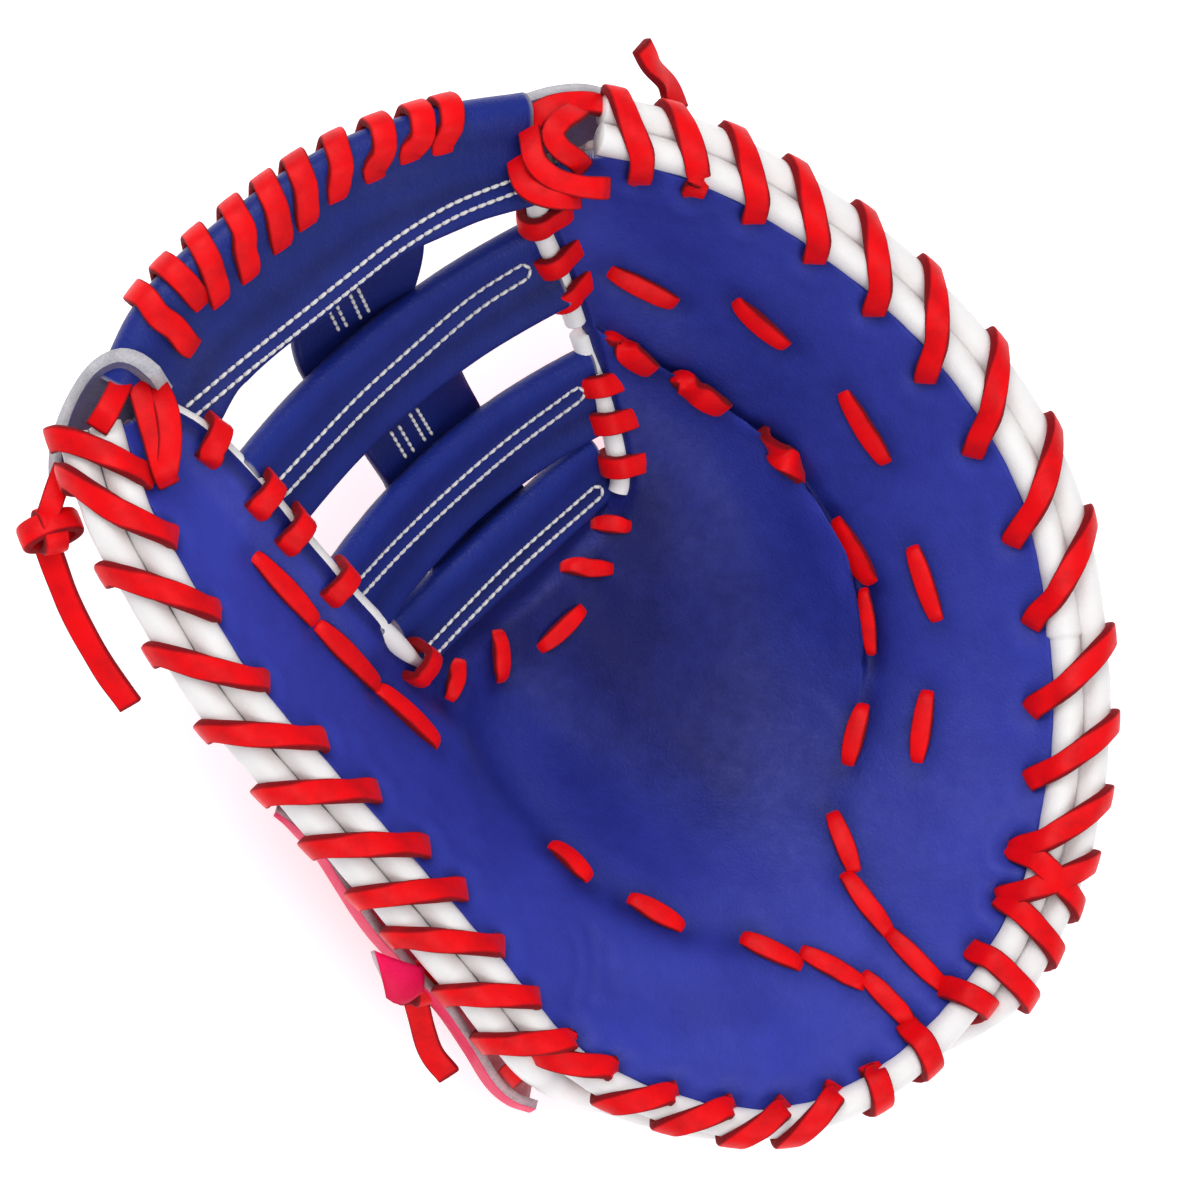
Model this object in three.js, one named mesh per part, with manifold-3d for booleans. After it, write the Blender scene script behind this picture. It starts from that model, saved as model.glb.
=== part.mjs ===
// A first baseman mitt for the left hand, lying on its back with the pocket up.
// Millimetres, +Z up. The thumb is at -X, the fingers at +X, the heel at -Y and the web at the upper left.
import * as THREE from 'three';
import { mergeVertices } from 'three/addons/utils/BufferGeometryUtils.js';
import Module from 'manifold-3d';

const wasm = await Module();
wasm.setup();

// Driving dimensions
const mittWidth = 290;
const mittLength = 290;
const mittHeight = 120;
const clearance = 0.3;

// Leather
const palmWall = 3;
const backWall = 2.4;
const strapWall = 2.4;
const strapGap = 1.5;
const webWall = 3;
const flangeGap = 0.8;
const flangeWidth = 12;

// Rolled bindings
const rollDiameter = 8;
const rollDrop = 1.4;
const edgeRollDiameter = 7;

// Rawhide laces
const laceWidth = 6.5;
const laceThickness = 2.6;
const laceSlant = 13;

// Wrist mouth
const lipHeight = 9;
const lipRun = 80;
const strapWidth = 24;
const strapInset = 20;
const strapEnds = { from: 4.6, to: 11.8 };

// Web
const barRoll = 7;
const bandWidth = 29;
const bandRoll = 9;
const tabWidth = 36;
const tabLap = 7;
const tabDrop = 2.4;

const rollRadius = rollDiameter / 2;
const edgeRadius = edgeRollDiameter / 2;
const rimSeat = rollDiameter + 2 * clearance;
const edgeSeat = edgeRadius + 3 * clearance;
const endTrim = 0.15;
const tipTrim = 1.3 * endTrim;
const buttZone = 0.15;
const underPalm = palmWall + flangeGap + backWall;

// Sections from the rim to the inner edge, going from the thumb tip round the heel to the finger tip.
// Places and heights are hundredths of the mitt's width, length and height; shoulder and floor are
// shares of the way in; stall is the depth of the hand's room below, in hundredths of the height.
const sections = [
  { name: 'thumb tip', rimX: -48.4, rimY: 11.9, rimZ: 98, edgeX: -42.2, edgeY: 13.8, edgeZ: 98,
    shoulder: 0.3, shoulderZ: 98, floor: 0.7, floorZ: 98, stall: 3 },
  { name: 'thumb pad', rimX: -45.7, rimY: 4.2, rimZ: 97, edgeX: -38.1, edgeY: 11.9, edgeZ: 93,
    shoulder: 0.3, shoulderZ: 94, floor: 0.7, floorZ: 92, stall: 12 },
  { name: 'thumb upper', rimX: -41.5, rimY: -2.9, rimZ: 92, edgeX: -33.7, edgeY: 8.2, edgeZ: 87,
    shoulder: 0.3, shoulderZ: 88, floor: 0.7, floorZ: 85, stall: 19 },
  { name: 'thumb middle', rimX: -36.1, rimY: -10.9, rimZ: 87, edgeX: -29.2, edgeY: 3.9, edgeZ: 78,
    shoulder: 0.3, shoulderZ: 82, floor: 0.7, floorZ: 76, stall: 23 },
  { name: 'thumb lower', rimX: -29.2, rimY: -18, rimZ: 78, edgeX: -23.7, edgeY: -1.2, edgeZ: 67,
    shoulder: 0.3, shoulderZ: 72, floor: 0.7, floorZ: 65, stall: 27 },
  { name: 'thumb root', rimX: -21.7, rimY: -25.5, rimZ: 68, edgeX: -17.9, edgeY: -5.4, edgeZ: 52,
    shoulder: 0.3, shoulderZ: 63, floor: 0.7, floorZ: 53, stall: 33 },
  { name: 'thumb heel', rimX: -12.9, rimY: -34.4, rimZ: 57, edgeX: -14.6, edgeY: -6.1, edgeZ: 42,
    shoulder: 0.3, shoulderZ: 55, floor: 0.7, floorZ: 47, stall: 42 },
  { name: 'heel left', rimX: -4, rimY: -43.6, rimZ: 47, edgeX: -11.4, edgeY: -3.7, edgeZ: 37,
    shoulder: 0.35, shoulderZ: 48, floor: 0.8, floorZ: 32, stall: 50 },
  { name: 'heel middle', rimX: 6.6, rimY: -48.5, rimZ: 42, edgeX: -8.4, edgeY: -0.9, edgeZ: 34,
    shoulder: 0.35, shoulderZ: 44, floor: 0.8, floorZ: 27, stall: 50 },
  { name: 'heel right', rimX: 18.1, rimY: -49.8, rimZ: 40, edgeX: -5.5, edgeY: 1.6, edgeZ: 33,
    shoulder: 0.3, shoulderZ: 42, floor: 0.7, floorZ: 25, stall: 50 },
  { name: 'heel corner', rimX: 28.6, rimY: -45.5, rimZ: 42, edgeX: -2.5, edgeY: 4.5, edgeZ: 33,
    shoulder: 0.3, shoulderZ: 39, floor: 0.65, floorZ: 24, stall: 50 },
  { name: 'side low', rimX: 37.1, rimY: -37.2, rimZ: 46, edgeX: 0.4, edgeY: 7.2, edgeZ: 33,
    shoulder: 0.3, shoulderZ: 38, floor: 0.65, floorZ: 24, stall: 50 },
  { name: 'side lower', rimX: 42.7, rimY: -27, rimZ: 50, edgeX: 2.5, edgeY: 9.8, edgeZ: 34,
    shoulder: 0.3, shoulderZ: 40, floor: 0.65, floorZ: 25, stall: 50 },
  { name: 'side middle', rimX: 45.6, rimY: -14.9, rimZ: 53, edgeX: 3.3, edgeY: 12.3, edgeZ: 37,
    shoulder: 0.3, shoulderZ: 42, floor: 0.65, floorZ: 28, stall: 46 },
  { name: 'side upper', rimX: 45.3, rimY: -2.7, rimZ: 57, edgeX: 2.4, edgeY: 15.8, edgeZ: 42,
    shoulder: 0.3, shoulderZ: 47, floor: 0.65, floorZ: 33, stall: 42 },
  { name: 'side high', rimX: 42.2, rimY: 10.3, rimZ: 62, edgeX: 0.8, edgeY: 19.7, edgeZ: 47,
    shoulder: 0.3, shoulderZ: 53, floor: 0.65, floorZ: 42, stall: 37 },
  { name: 'finger low', rimX: 35.4, rimY: 20.6, rimZ: 69, edgeX: -1.1, edgeY: 23.4, edgeZ: 53,
    shoulder: 0.3, shoulderZ: 62, floor: 0.65, floorZ: 52, stall: 32 },
  { name: 'finger middle', rimX: 26.6, rimY: 28.5, rimZ: 77, edgeX: -3.3, edgeY: 27, edgeZ: 63,
    shoulder: 0.3, shoulderZ: 71, floor: 0.65, floorZ: 62, stall: 27 },
  { name: 'finger upper', rimX: 16.4, rimY: 34.7, rimZ: 85, edgeX: -5.5, edgeY: 30.2, edgeZ: 73,
    shoulder: 0.3, shoulderZ: 80, floor: 0.65, floorZ: 72, stall: 21 },
  { name: 'finger high', rimX: 6.5, rimY: 38.5, rimZ: 93, edgeX: -7.6, edgeY: 33.2, edgeZ: 83,
    shoulder: 0.3, shoulderZ: 89, floor: 0.65, floorZ: 83, stall: 13 },
  { name: 'finger tip', rimX: -3.3, rimY: 40.3, rimZ: 98, edgeX: -7.9, edgeY: 36.6, edgeZ: 95,
    shoulder: 0.3, shoulderZ: 98, floor: 0.65, floorZ: 96, stall: 3 },
];
const lastSection = sections.length - 1;

// The fold in the palm: where it lies across each section, and how much of the fold's height it has there
const pleatHeight = 4;
const pleatRise = { before: 0.03, after: 0.05, fade: 0.12 };
const pleat = [
  { section: 12.2, share: 0.4, part: 0 },
  { section: 13, share: 0.41, part: 0.6 },
  { section: 14, share: 0.45, part: 1 },
  { section: 15, share: 0.57, part: 1 },
  { section: 15.5, share: 0.71, part: 1 },
  { section: 16, share: 0.87, part: 0.8 },
  { section: 16.5, share: 1, part: 0.4 },
];

// Where the back leather leaves the rim and drops to form the wrist mouth, by section
const mouth = { opens: 6.6, opened: 7.8, closing: 10.1, closed: 11.2 };
const openEnough = 0.15;

// The back leather: how full it swells, where it closes again past the mouth, and the room it leaves for the strap
const backForm = { leastFacing: 0.4, mostFlange: 0.45, fullness: 0.6, lipCurve: 1.5, closesFrom: 0.3, closesBy: 0.55 };
const strapRoomAt = { opens: 4.4, opened: 5, closing: 12, closed: 12.8, fadeFrom: 2, fadeBy: 14 };

// Straight blends and smooth curves through a table
const { clamp, lerp, smoothstep } = THREE.MathUtils;

function catmull(a, b, c, d, f) {
  const slopeB = (c - a) / 2;
  const slopeC = (d - b) / 2;
  return hermite(b, c, slopeB, slopeC, f);
}

function hermite(b, c, slopeB, slopeC, f) {
  const f2 = f * f;
  const f3 = f2 * f;
  return (2 * f3 - 3 * f2 + 1) * b + (f3 - 2 * f2 + f) * slopeB + (3 * f2 - 2 * f3) * c + (f3 - f2) * slopeC;
}

function column(key, t) {
  const i = clamp(Math.floor(t), 0, lastSection - 1);
  const at = (k) => sections[clamp(k, 0, lastSection)][key];
  return catmull(at(i - 1), at(i), at(i + 1), at(i + 2), t - i);
}

function between(rows, key, place, value) {
  if (place <= rows[0][key]) return rows[0][value];
  for (let i = 1; i < rows.length; i += 1) {
    if (place <= rows[i][key]) {
      const f = (place - rows[i - 1][key]) / (rows[i][key] - rows[i - 1][key]);
      return lerp(rows[i - 1][value], rows[i][value], f);
    }
  }
  return rows[rows.length - 1][value];
}

function curveThrough(places, heights, at) {
  let i = 0;
  while (i < places.length - 2 && at > places[i + 1]) i += 1;
  const slope = (k) => {
    const lo = Math.max(k - 1, 0);
    const hi = Math.min(k + 1, places.length - 1);
    return (heights[hi] - heights[lo]) / (places[hi] - places[lo]);
  };
  const run = places[i + 1] - places[i];
  return hermite(heights[i], heights[i + 1], slope(i) * run, slope(i + 1) * run, (at - places[i]) / run);
}

// Rim, inner edge and the plan directions at a section
function rim(t) {
  return new THREE.Vector3(
    (column('rimX', t) * mittWidth) / 100,
    (column('rimY', t) * mittLength) / 100,
    (column('rimZ', t) * mittHeight) / 100,
  );
}

function innerEdge(t) {
  return new THREE.Vector3(
    (column('edgeX', t) * mittWidth) / 100,
    (column('edgeY', t) * mittLength) / 100,
    (column('edgeZ', t) * mittHeight) / 100,
  );
}

function travel(curve, t) {
  const step = 0.02;
  const ahead = curve(Math.min(t + step, lastSection));
  return ahead.sub(curve(Math.max(t - step, 0))).normalize();
}

function outward(t) {
  const way = travel(rim, t);
  return new THREE.Vector3(way.y, -way.x, 0).normalize();
}

function inwardFromRim(t) {
  return innerEdge(t).sub(rim(t)).setZ(0).normalize();
}

// How squarely a section leaves the rim
function facing(t) {
  return clamp(-outward(t).dot(inwardFromRim(t)), backForm.leastFacing, 1);
}

function mouthOpen(t) {
  return smoothstep(t, mouth.opens, mouth.opened) * (1 - smoothstep(t, mouth.closing, mouth.closed));
}

// The direction of a wall's thickness: square to its face, but upright where it butts against a roll
function wallNormal(face, t, share) {
  const normal = faceNormal(face, t, share);
  const out = outward(t);
  const into = inwardFromRim(t);
  normal.addScaledVector(out, -normal.dot(out) * (1 - smoothstep(share, 0, buttZone)));
  return normal.addScaledVector(into, -normal.dot(into) * smoothstep(share, 1 - buttZone, 1)).normalize();
}

// Palm leather: its upper face at a section and a share of the way in
function palmSpan(t) {
  const start = rim(t).addScaledVector(outward(t), -rimSeat);
  const end = innerEdge(t).addScaledVector(inwardFromRim(t), -edgeSeat);
  return { start, end };
}

function palmReach(t) {
  const { start, end } = palmSpan(t);
  return start.setZ(0).distanceTo(end.setZ(0));
}

function palmPlain(t, share) {
  const { start, end } = palmSpan(t);
  const point = start.lerp(end, share);
  const places = [0, column('shoulder', t), column('floor', t), 1];
  const heights = ['rimZ', 'shoulderZ', 'floorZ', 'edgeZ'].map((key) => (column(key, t) * mittHeight) / 100);
  point.z = curveThrough(places, heights, share);
  return point;
}

function palmFace(t, share) {
  const past = share - between(pleat, 'section', t, 'share');
  const rise = smoothstep(past, -pleatRise.before, pleatRise.after)
    * Math.exp(-Math.max(past - pleatRise.after, 0) / pleatRise.fade);
  const point = palmPlain(t, share);
  point.z += pleatHeight * between(pleat, 'section', t, 'part') * rise;
  return point;
}

function faceNormal(face, t, share) {
  const step = 0.02;
  const alongRim = face(Math.min(t + step, lastSection), share).sub(face(Math.max(t - step, 0), share));
  const across = face(t, Math.min(share + step, 1)).sub(face(t, Math.max(share - step, 0)));
  return alongRim.cross(across).normalize();
}

// Back leather: its outer face, close under the palm at the rim, then swelling to hold the hand
function backRollClosed(t) {
  const centre = rim(t).addScaledVector(outward(t), rollRadius + clearance / 2);
  return centre.setZ(centre.z - rollDrop);
}

function backShift(t) {
  const open = mouthOpen(t);
  const lowered = lipHeight + backWall + clearance + rollRadius - backRollClosed(t).z;
  return outward(t).multiplyScalar(-rollDiameter * open).setZ(lowered * open);
}

function backRoll(t) {
  return backRollClosed(t).add(backShift(t));
}

function backFace(t, share) {
  const below = palmPlain(t, share).addScaledVector(wallNormal(palmPlain, t, share), -underPalm);
  const reach = palmReach(t);
  const inset = share * reach;
  const flange = Math.min(flangeWidth / facing(t), backForm.mostFlange * reach);
  const into = clamp((inset - flange) / (reach - flange), 0, 1);
  const swell = ((column('stall', t) * mittHeight) / 100) * Math.pow(4 * into * (1 - into), backForm.fullness);
  const lip = lipHeight * Math.pow(clamp(1 - inset / lipRun, 0, 1), backForm.lipCurve);
  const open = mouthOpen(t) * (1 - smoothstep(share, backForm.closesFrom, backForm.closesBy));
  const { opens, opened, closing, closed, fadeFrom, fadeBy } = strapRoomAt;
  const strapThere = smoothstep(t, opens, opened) * (1 - smoothstep(t, closing, closed));
  const strapEnd = strapInset + strapWidth;
  const strapRoom = (strapWall + strapGap + clearance) * strapThere
    * (1 - smoothstep(inset, strapEnd + fadeFrom, strapEnd + fadeBy));
  const underRoll = rollDrop * (1 - smoothstep(inset, 0, flangeWidth));
  below.z = Math.max(lerp(below.z - swell - underRoll, lip, open), strapRoom);
  return below;
}

function backLip(t, above = 0) {
  const way = travel(backRoll, t);
  const up = new THREE.Vector3(-way.x * way.z, -way.y * way.z, 1 - way.z * way.z).normalize();
  return backRoll(t).addScaledVector(up, above - rollRadius - 2 * clearance - backWall);
}

// Lines that run round the back: each keeps its distance from the rim, but stays within its share of the way in
const backStations = [
  { inset: 0, share: 0 },
  { inset: flangeWidth / 2, share: 0.15 },
  { inset: flangeWidth, share: 0.3 },
  { inset: strapInset, share: 0.42 },
  { inset: strapInset + strapWidth / 2, share: 0.54 },
  { inset: strapInset + strapWidth, share: 0.66 },
  { inset: Infinity, share: 0.76 },
  { inset: Infinity, share: 0.86 },
  { inset: Infinity, share: 0.95 },
  { inset: Infinity, share: 1 },
];
const strapLines = [3, 6];

// Geometry helpers: closed bodies from grids and sections
function bodyFrom(points, triangles) {
  const geometry = new THREE.BufferGeometry();
  geometry.setAttribute('position', new THREE.Float32BufferAttribute(points.flatMap((p) => [p.x, p.y, p.z]), 3));
  geometry.setIndex(triangles.flat());
  return geometry;
}

function wallBetween(upper, lower) {
  const rows = upper.length;
  const across = upper[0].length;
  const points = [...upper.flat(), ...lower.flat()];
  const half = rows * across;
  const triangles = [];
  const quad = (a, b, c, d) => triangles.push([a, b, c], [a, c, d]);
  const at = (i, j) => i * across + j;
  for (let i = 0; i < rows - 1; i += 1) {
    for (let j = 0; j < across - 1; j += 1) {
      quad(at(i, j), at(i + 1, j), at(i + 1, j + 1), at(i, j + 1));
      quad(half + at(i, j + 1), half + at(i + 1, j + 1), half + at(i + 1, j), half + at(i, j));
    }
    quad(at(i, 0), half + at(i, 0), half + at(i + 1, 0), at(i + 1, 0));
    quad(at(i + 1, across - 1), half + at(i + 1, across - 1), half + at(i, across - 1), at(i, across - 1));
  }
  for (let j = 0; j < across - 1; j += 1) {
    quad(at(0, j + 1), half + at(0, j + 1), half + at(0, j), at(0, j));
    quad(at(rows - 1, j), half + at(rows - 1, j), half + at(rows - 1, j + 1), at(rows - 1, j + 1));
  }
  return bodyFrom(points, triangles);
}

function sweep(frames, outline) {
  const points = frames.flatMap(({ centre, side, up }) => outline.map(([s, u]) => (
    centre.clone().addScaledVector(side, s).addScaledVector(up, u))));
  const n = outline.length;
  const triangles = [];
  for (let i = 0; i < frames.length - 1; i += 1) {
    for (let j = 0; j < n; j += 1) {
      const k = (j + 1) % n;
      triangles.push([i * n + j, i * n + k, (i + 1) * n + k], [i * n + j, (i + 1) * n + k, (i + 1) * n + j]);
    }
  }
  const caps = THREE.ShapeUtils.triangulateShape(outline.map(([s, u]) => new THREE.Vector2(s, u)), []);
  const last = (frames.length - 1) * n;
  caps.forEach(([a, b, c]) => triangles.push([c, b, a], [last + a, last + b, last + c]));
  return bodyFrom(points, triangles);
}

function flatLace(width, thickness) {
  return [[-width / 2, -thickness / 2], [width / 2, -thickness / 2], [width / 2, thickness / 2],
    [-width / 2, thickness / 2]];
}

function framesAlong(points, upAt) {
  return points.map((centre, i) => {
    const ahead = points[Math.min(i + 1, points.length - 1)];
    const way = ahead.clone().sub(points[Math.max(i - 1, 0)]).normalize();
    const up = upAt(centre, i).clone();
    up.addScaledVector(way, -up.dot(way)).normalize();
    const side = up.clone().cross(way).normalize();
    return { centre, side, up, way };
  });
}

function roundRoll(diameter) {
  const sides = 6;
  return Array.from({ length: sides }, (_, i) => {
    const angle = (2 * Math.PI * (i + 0.5)) / sides;
    return [(diameter / 2) * Math.cos(angle), (diameter / 2) * Math.sin(angle)];
  });
}

function rollAlong(points, diameter) {
  const upright = new THREE.Vector3(0, 0, 1);
  return sweep(framesAlong(points, () => upright), roundRoll(diameter));
}

function range(from, to, steps) {
  return Array.from({ length: steps + 1 }, (_, i) => lerp(from, to, i / steps));
}

// Cuts and joins
function solidOf(geometry) {
  const plain = geometry.clone();
  plain.deleteAttribute('normal');
  plain.deleteAttribute('uv');
  const merged = mergeVertices(plain, 1e-4);
  return new wasm.Manifold(new wasm.Mesh({
    numProp: 3,
    vertProperties: new Float32Array(merged.attributes.position.array),
    triVerts: new Uint32Array(merged.index.array),
  }));
}

function geometryOf(solid) {
  const { vertProperties, triVerts, numProp } = solid.getMesh();
  const geometry = new THREE.BufferGeometry();
  const positions = [];
  for (let i = 0; i < vertProperties.length; i += numProp) {
    positions.push(vertProperties[i], vertProperties[i + 1], vertProperties[i + 2]);
  }
  geometry.setAttribute('position', new THREE.Float32BufferAttribute(positions, 3));
  geometry.setIndex(Array.from(triVerts));
  return geometry;
}

function cutBy(geometry, tools) {
  const cut = tools.reduce((body, tool) => body.subtract(solidOf(tool)), solidOf(geometry));
  const pieces = cut.decompose().sort((a, b) => b.volume() - a.volume());
  return geometryOf(pieces[0]);
}

// Laces whipped round an edge: each turn passes over the rolls, down its hole and back underneath.
// A row places the lace out from the seam and up from it, says how far along the turn it has gone, and how
// far it follows the back leather where that drops to the wrist mouth.
const closedTurn = [
  { out: 10.1, up: -1, slant: 0, pitch: 0, drop: 1 },
  { out: 8.4, up: 3.3, slant: 0.12, pitch: 0, drop: 1 },
  { out: 3.6, up: 5.1, slant: 0.32, pitch: 0, drop: 0.6 },
  { out: -5.4, up: 7.6, slant: 0.66, pitch: 0, drop: 0 },
  { out: -11.2, up: 5.9, slant: 0.9, pitch: 0, drop: 0 },
  { out: -14.4, up: 0.4, slant: 1, pitch: 0, drop: 0 },
  { out: -14.2, up: -12.4, slant: 1, pitch: 0, drop: 1 },
  { out: -4, up: -12, slant: 1, pitch: 0.4, drop: 1 },
  { out: 5.5, up: -11.7, slant: 1, pitch: 0.75, drop: 1 },
  { out: 9.4, up: -7, slant: 1, pitch: 0.9, drop: 1 },
];
const holeRow = 5;
const archRun = 3;
const turnMiddle = { mouth: -7, closed: -3, down: -1.5 };
const slotEnds = { above: 1, below: 2.5 };
const mouthTurn = [
  { out: 1.9, up: 0, slant: 0, pitch: 0, drop: 0 },
  { out: 0.3, up: 4.3, slant: 0.2, pitch: 0, drop: 0 },
  { out: -4.2, up: 6.8, slant: 0.45, pitch: 0, drop: 0 },
  { out: -8.8, up: 5.4, slant: 0.72, pitch: 0, drop: 0 },
  { out: -12, up: 5, slant: 0.9, pitch: 0, drop: 0 },
  { out: -14.4, up: 1.4, slant: 1, pitch: 0, drop: 0 },
  { out: -14.2, up: -5, slant: 1, pitch: 0, drop: 0 },
  { out: -8.6, up: -5.9, slant: 1, pitch: 0.4, drop: 0 },
  { out: -4, up: -6.2, slant: 1, pitch: 0.7, drop: 0 },
  { out: 0.4, up: -4.4, slant: 1, pitch: 0.9, drop: 0 },
];

function arcTable(curve, from, to) {
  const steps = 200;
  const rows = [{ t: from, run: 0 }];
  for (let i = 1; i <= steps; i += 1) {
    const t = lerp(from, to, i / steps);
    const run = rows[i - 1].run + curve(t).distanceTo(curve(rows[i - 1].t));
    rows.push({ t, run });
  }
  return rows;
}

function whipPath({ from, to, turns }) {
  const table = arcTable(rim, from, to);
  const pitch = table[table.length - 1].run / turns;
  const points = [];
  const centres = [];
  const passed = [];
  for (let turn = 0; turn < turns; turn += 1) {
    const opened = mouthOpen(between(table, 'run', (turn + 0.5) * pitch, 't')) > openEnough;
    (opened ? mouthTurn : closedTurn).forEach((row) => {
      const gone = turn * pitch + row.slant * laceSlant + row.pitch * (pitch - laceSlant);
      const t = between(table, 'run', gone, 't');
      const seam = rim(t);
      const out = outward(t);
      const slope = faceNormal(palmPlain, t, 0);
      const fallFrom = row.up > 0 ? rimSeat + archRun : rimSeat;
      const fall = (slope.dot(out) / slope.z) * Math.min(row.out + fallFrom, 0);
      const point = seam.clone().addScaledVector(out, row.out).setZ(seam.z + row.up - fall);
      point.addScaledVector(backShift(t), row.drop);
      if (row.drop && row.up < 0 && row.out < -rimSeat) point.z = Math.min(point.z, underBack(point, t));
      points.push(point);
      passed.push(t);
      const centre = seam.addScaledVector(out, opened ? turnMiddle.mouth : turnMiddle.closed);
      centres.push(centre.setZ(centre.z + turnMiddle.down));
    });
  }
  const frames = framesAlong(points, (centre, i) => centre.clone().sub(centres[i]));
  return frames.map((frame, i) => ({ ...frame, section: passed[i] }));
}

// The section whose line passes over a point, seen from above
function sectionOver(point, near) {
  const step = 0.05;
  const offLine = (t) => {
    const { start, end } = palmSpan(t);
    const way = end.sub(start).setZ(0).normalize();
    return (point.x - start.x) * way.y - (point.y - start.y) * way.x;
  };
  let t = near;
  for (let tries = 0; tries < 4; tries += 1) {
    const slope = (offLine(t + step) - offLine(t - step)) / (2 * step);
    t = clamp(t - offLine(t) / slope, near - 1.5, near + 1.5);
  }
  return clamp(t, 0, lastSection);
}

// How low a lace has to pass under the back leather at a point
function underBack(point, near) {
  const t = sectionOver(point, near);
  const reach = palmReach(t);
  const inset = point.clone().sub(palmSpan(t).start).setZ(0).length();
  const heights = [-laceThickness, 0, laceThickness, 2 * laceThickness].map((step) => (
    backFace(t, clamp((inset + step) / reach, 0, 1)).z));
  return Math.min(...heights) - laceThickness / 2 - 6 * clearance;
}

function whipLace(lace) {
  return sweep(whipPath(lace), flatLace(laceWidth, laceThickness));
}

// The room that a lace takes between two sections, where the back leather curves sharply beside it
function laceRoom(lace, from, to) {
  const frames = whipPath(lace).filter(({ section }) => section > from && section < to);
  return sweep(frames, flatLace(laceWidth + 4 * clearance, laceThickness + 4 * clearance));
}

// One straight slot for each turn, where the lace goes down through the leather
function whipHoles(lace) {
  const frames = whipPath(lace);
  const slot = flatLace(laceWidth + 3 * clearance, laceThickness + 3 * clearance);
  return range(0, lace.turns - 1, lace.turns - 1).map((turn) => {
    const top = frames[turn * closedTurn.length + holeRow];
    const foot = frames[turn * closedTurn.length + holeRow + 1];
    const down = foot.centre.clone().sub(top.centre).normalize();
    const ends = [top.centre.clone().addScaledVector(down, -slotEnds.above),
      foot.centre.clone().addScaledVector(down, slotEnds.below)];
    return sweep(framesAlong(ends, () => top.up), slot);
  });
}

// Web bars: from the thumb's inner edge to the fingers', bowed out and sagging, with the outer side rolled
const bars = [
  { name: 'web_bar_upper', thumbAt: 2.3, fingerAt: 18, width: 27, shift: 0, bow: 6, sag: 4, slope: 28 },
  { name: 'web_bar_middle', thumbAt: 4, fingerAt: 15.2, width: 26, shift: 0, bow: 6, sag: 4, slope: 30 },
  { name: 'web_bar_lower', thumbAt: 5.4, fingerAt: 12.9, width: 20, shift: 8, bow: 0, sag: 0, slope: 24 },
];

// The web's top band in hundredths of the width, length and height, from behind the thumb tip to behind
// the finger tip
const band = [
  { x: -44.4, y: 16, z: 97 },
  { x: -39.9, y: 20.6, z: 99 },
  { x: -33, y: 27.2, z: 100 },
  { x: -25.2, y: 32.8, z: 100 },
  { x: -16.7, y: 36.3, z: 98 },
  { x: -9.3, y: 38.2, z: 94 },
];
const bandSlope = 20;

// The outline of a strip whose outer side is rolled, with the bend's places as shares of the roll
const bend = { side: 0.15, height: 0.85, neck: 0.95 };

function rolledEdge(width, roll, wall) {
  const [half, r, w] = [width / 2, roll / 2, wall / 2];
  const side = [half - bend.side * roll, bend.height * r];
  const neck = half - bend.neck * roll;
  return [[half, 0], side, [half - r, r], [neck, w], [-half, w], [-half, -w], [neck, -w], [half - r, -r],
    [side[0], -side[1]]];
}

// Frames along a strip of the web: side points up the web to its rolled edge, up faces the pocket
function webFrames(points, slope) {
  const tilt = THREE.MathUtils.degToRad(slope);
  return framesAlong(points, (_, i) => {
    const way = points[Math.min(i + 1, points.length - 1)].clone().sub(points[Math.max(i - 1, 0)]);
    const downWeb = new THREE.Vector3(way.y, -way.x, 0).normalize();
    return downWeb.multiplyScalar(Math.sin(tilt)).add(new THREE.Vector3(0, 0, Math.cos(tilt)));
  });
}

function barFrames({ thumbAt, fingerAt, shift, bow, sag, slope }, steps = 8) {
  const from = innerEdge(thumbAt);
  const to = innerEdge(fingerAt);
  const way = to.clone().sub(from);
  const outOfWeb = new THREE.Vector3(-way.y, way.x, 0).normalize();
  const middle = from.clone().add(to).multiplyScalar(0.5).addScaledVector(outOfWeb, 2 * bow);
  middle.z -= 2 * sag;
  const curve = new THREE.QuadraticBezierCurve3(from, middle, to);
  const lowered = new THREE.Vector3(0, 0, -palmWall).addScaledVector(outOfWeb, shift);
  return webFrames(curve.getPoints(steps).map((point) => point.add(lowered)), slope);
}

function bandFrames(steps = 16) {
  return webFrames(new THREE.CatmullRomCurve3(band.map(placeOf)).getPoints(steps), bandSlope);
}

// The mitt
const mitt = new THREE.Group();

const finishes = {
  palm: new THREE.MeshStandardMaterial({ color: 0x2b2f8c, roughness: 0.45, metalness: 0 }),
  back: new THREE.MeshStandardMaterial({ color: 0xe8175c, roughness: 0.5, metalness: 0 }),
  binding: new THREE.MeshStandardMaterial({ color: 0xe6e6e4, roughness: 0.4, metalness: 0 }),
  lace: new THREE.MeshStandardMaterial({ color: 0xe01020, roughness: 0.6, metalness: 0 }),
};

function addPiece(name, geometry, finish) {
  const piece = new THREE.Mesh(geometry, finishes[finish]);
  piece.name = name;
  mitt.add(piece);
}

// Laces round the rim
const rimLaces = [
  { name: 'thumb_rim_lace', from: 0.15, to: 12.1, turns: 21 },
  { name: 'finger_rim_lace', from: 19.6, to: 12.3, turns: 13 },
];
const laceHoles = rimLaces.flatMap(whipHoles);

// Where the back leather turns so sharply beside a lace that it needs room
const cornerSpans = [{ from: 5.7, to: 9.4 }, { from: 9.7, to: 11.7 }];
const tipSpan = { from: 17.2, to: lastSection };
const cornerRooms = cornerSpans.map(({ from, to }) => laceRoom(rimLaces[0], from, to));
const tipRoom = laceRoom(rimLaces[1], tipSpan.from, tipSpan.to);

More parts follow.
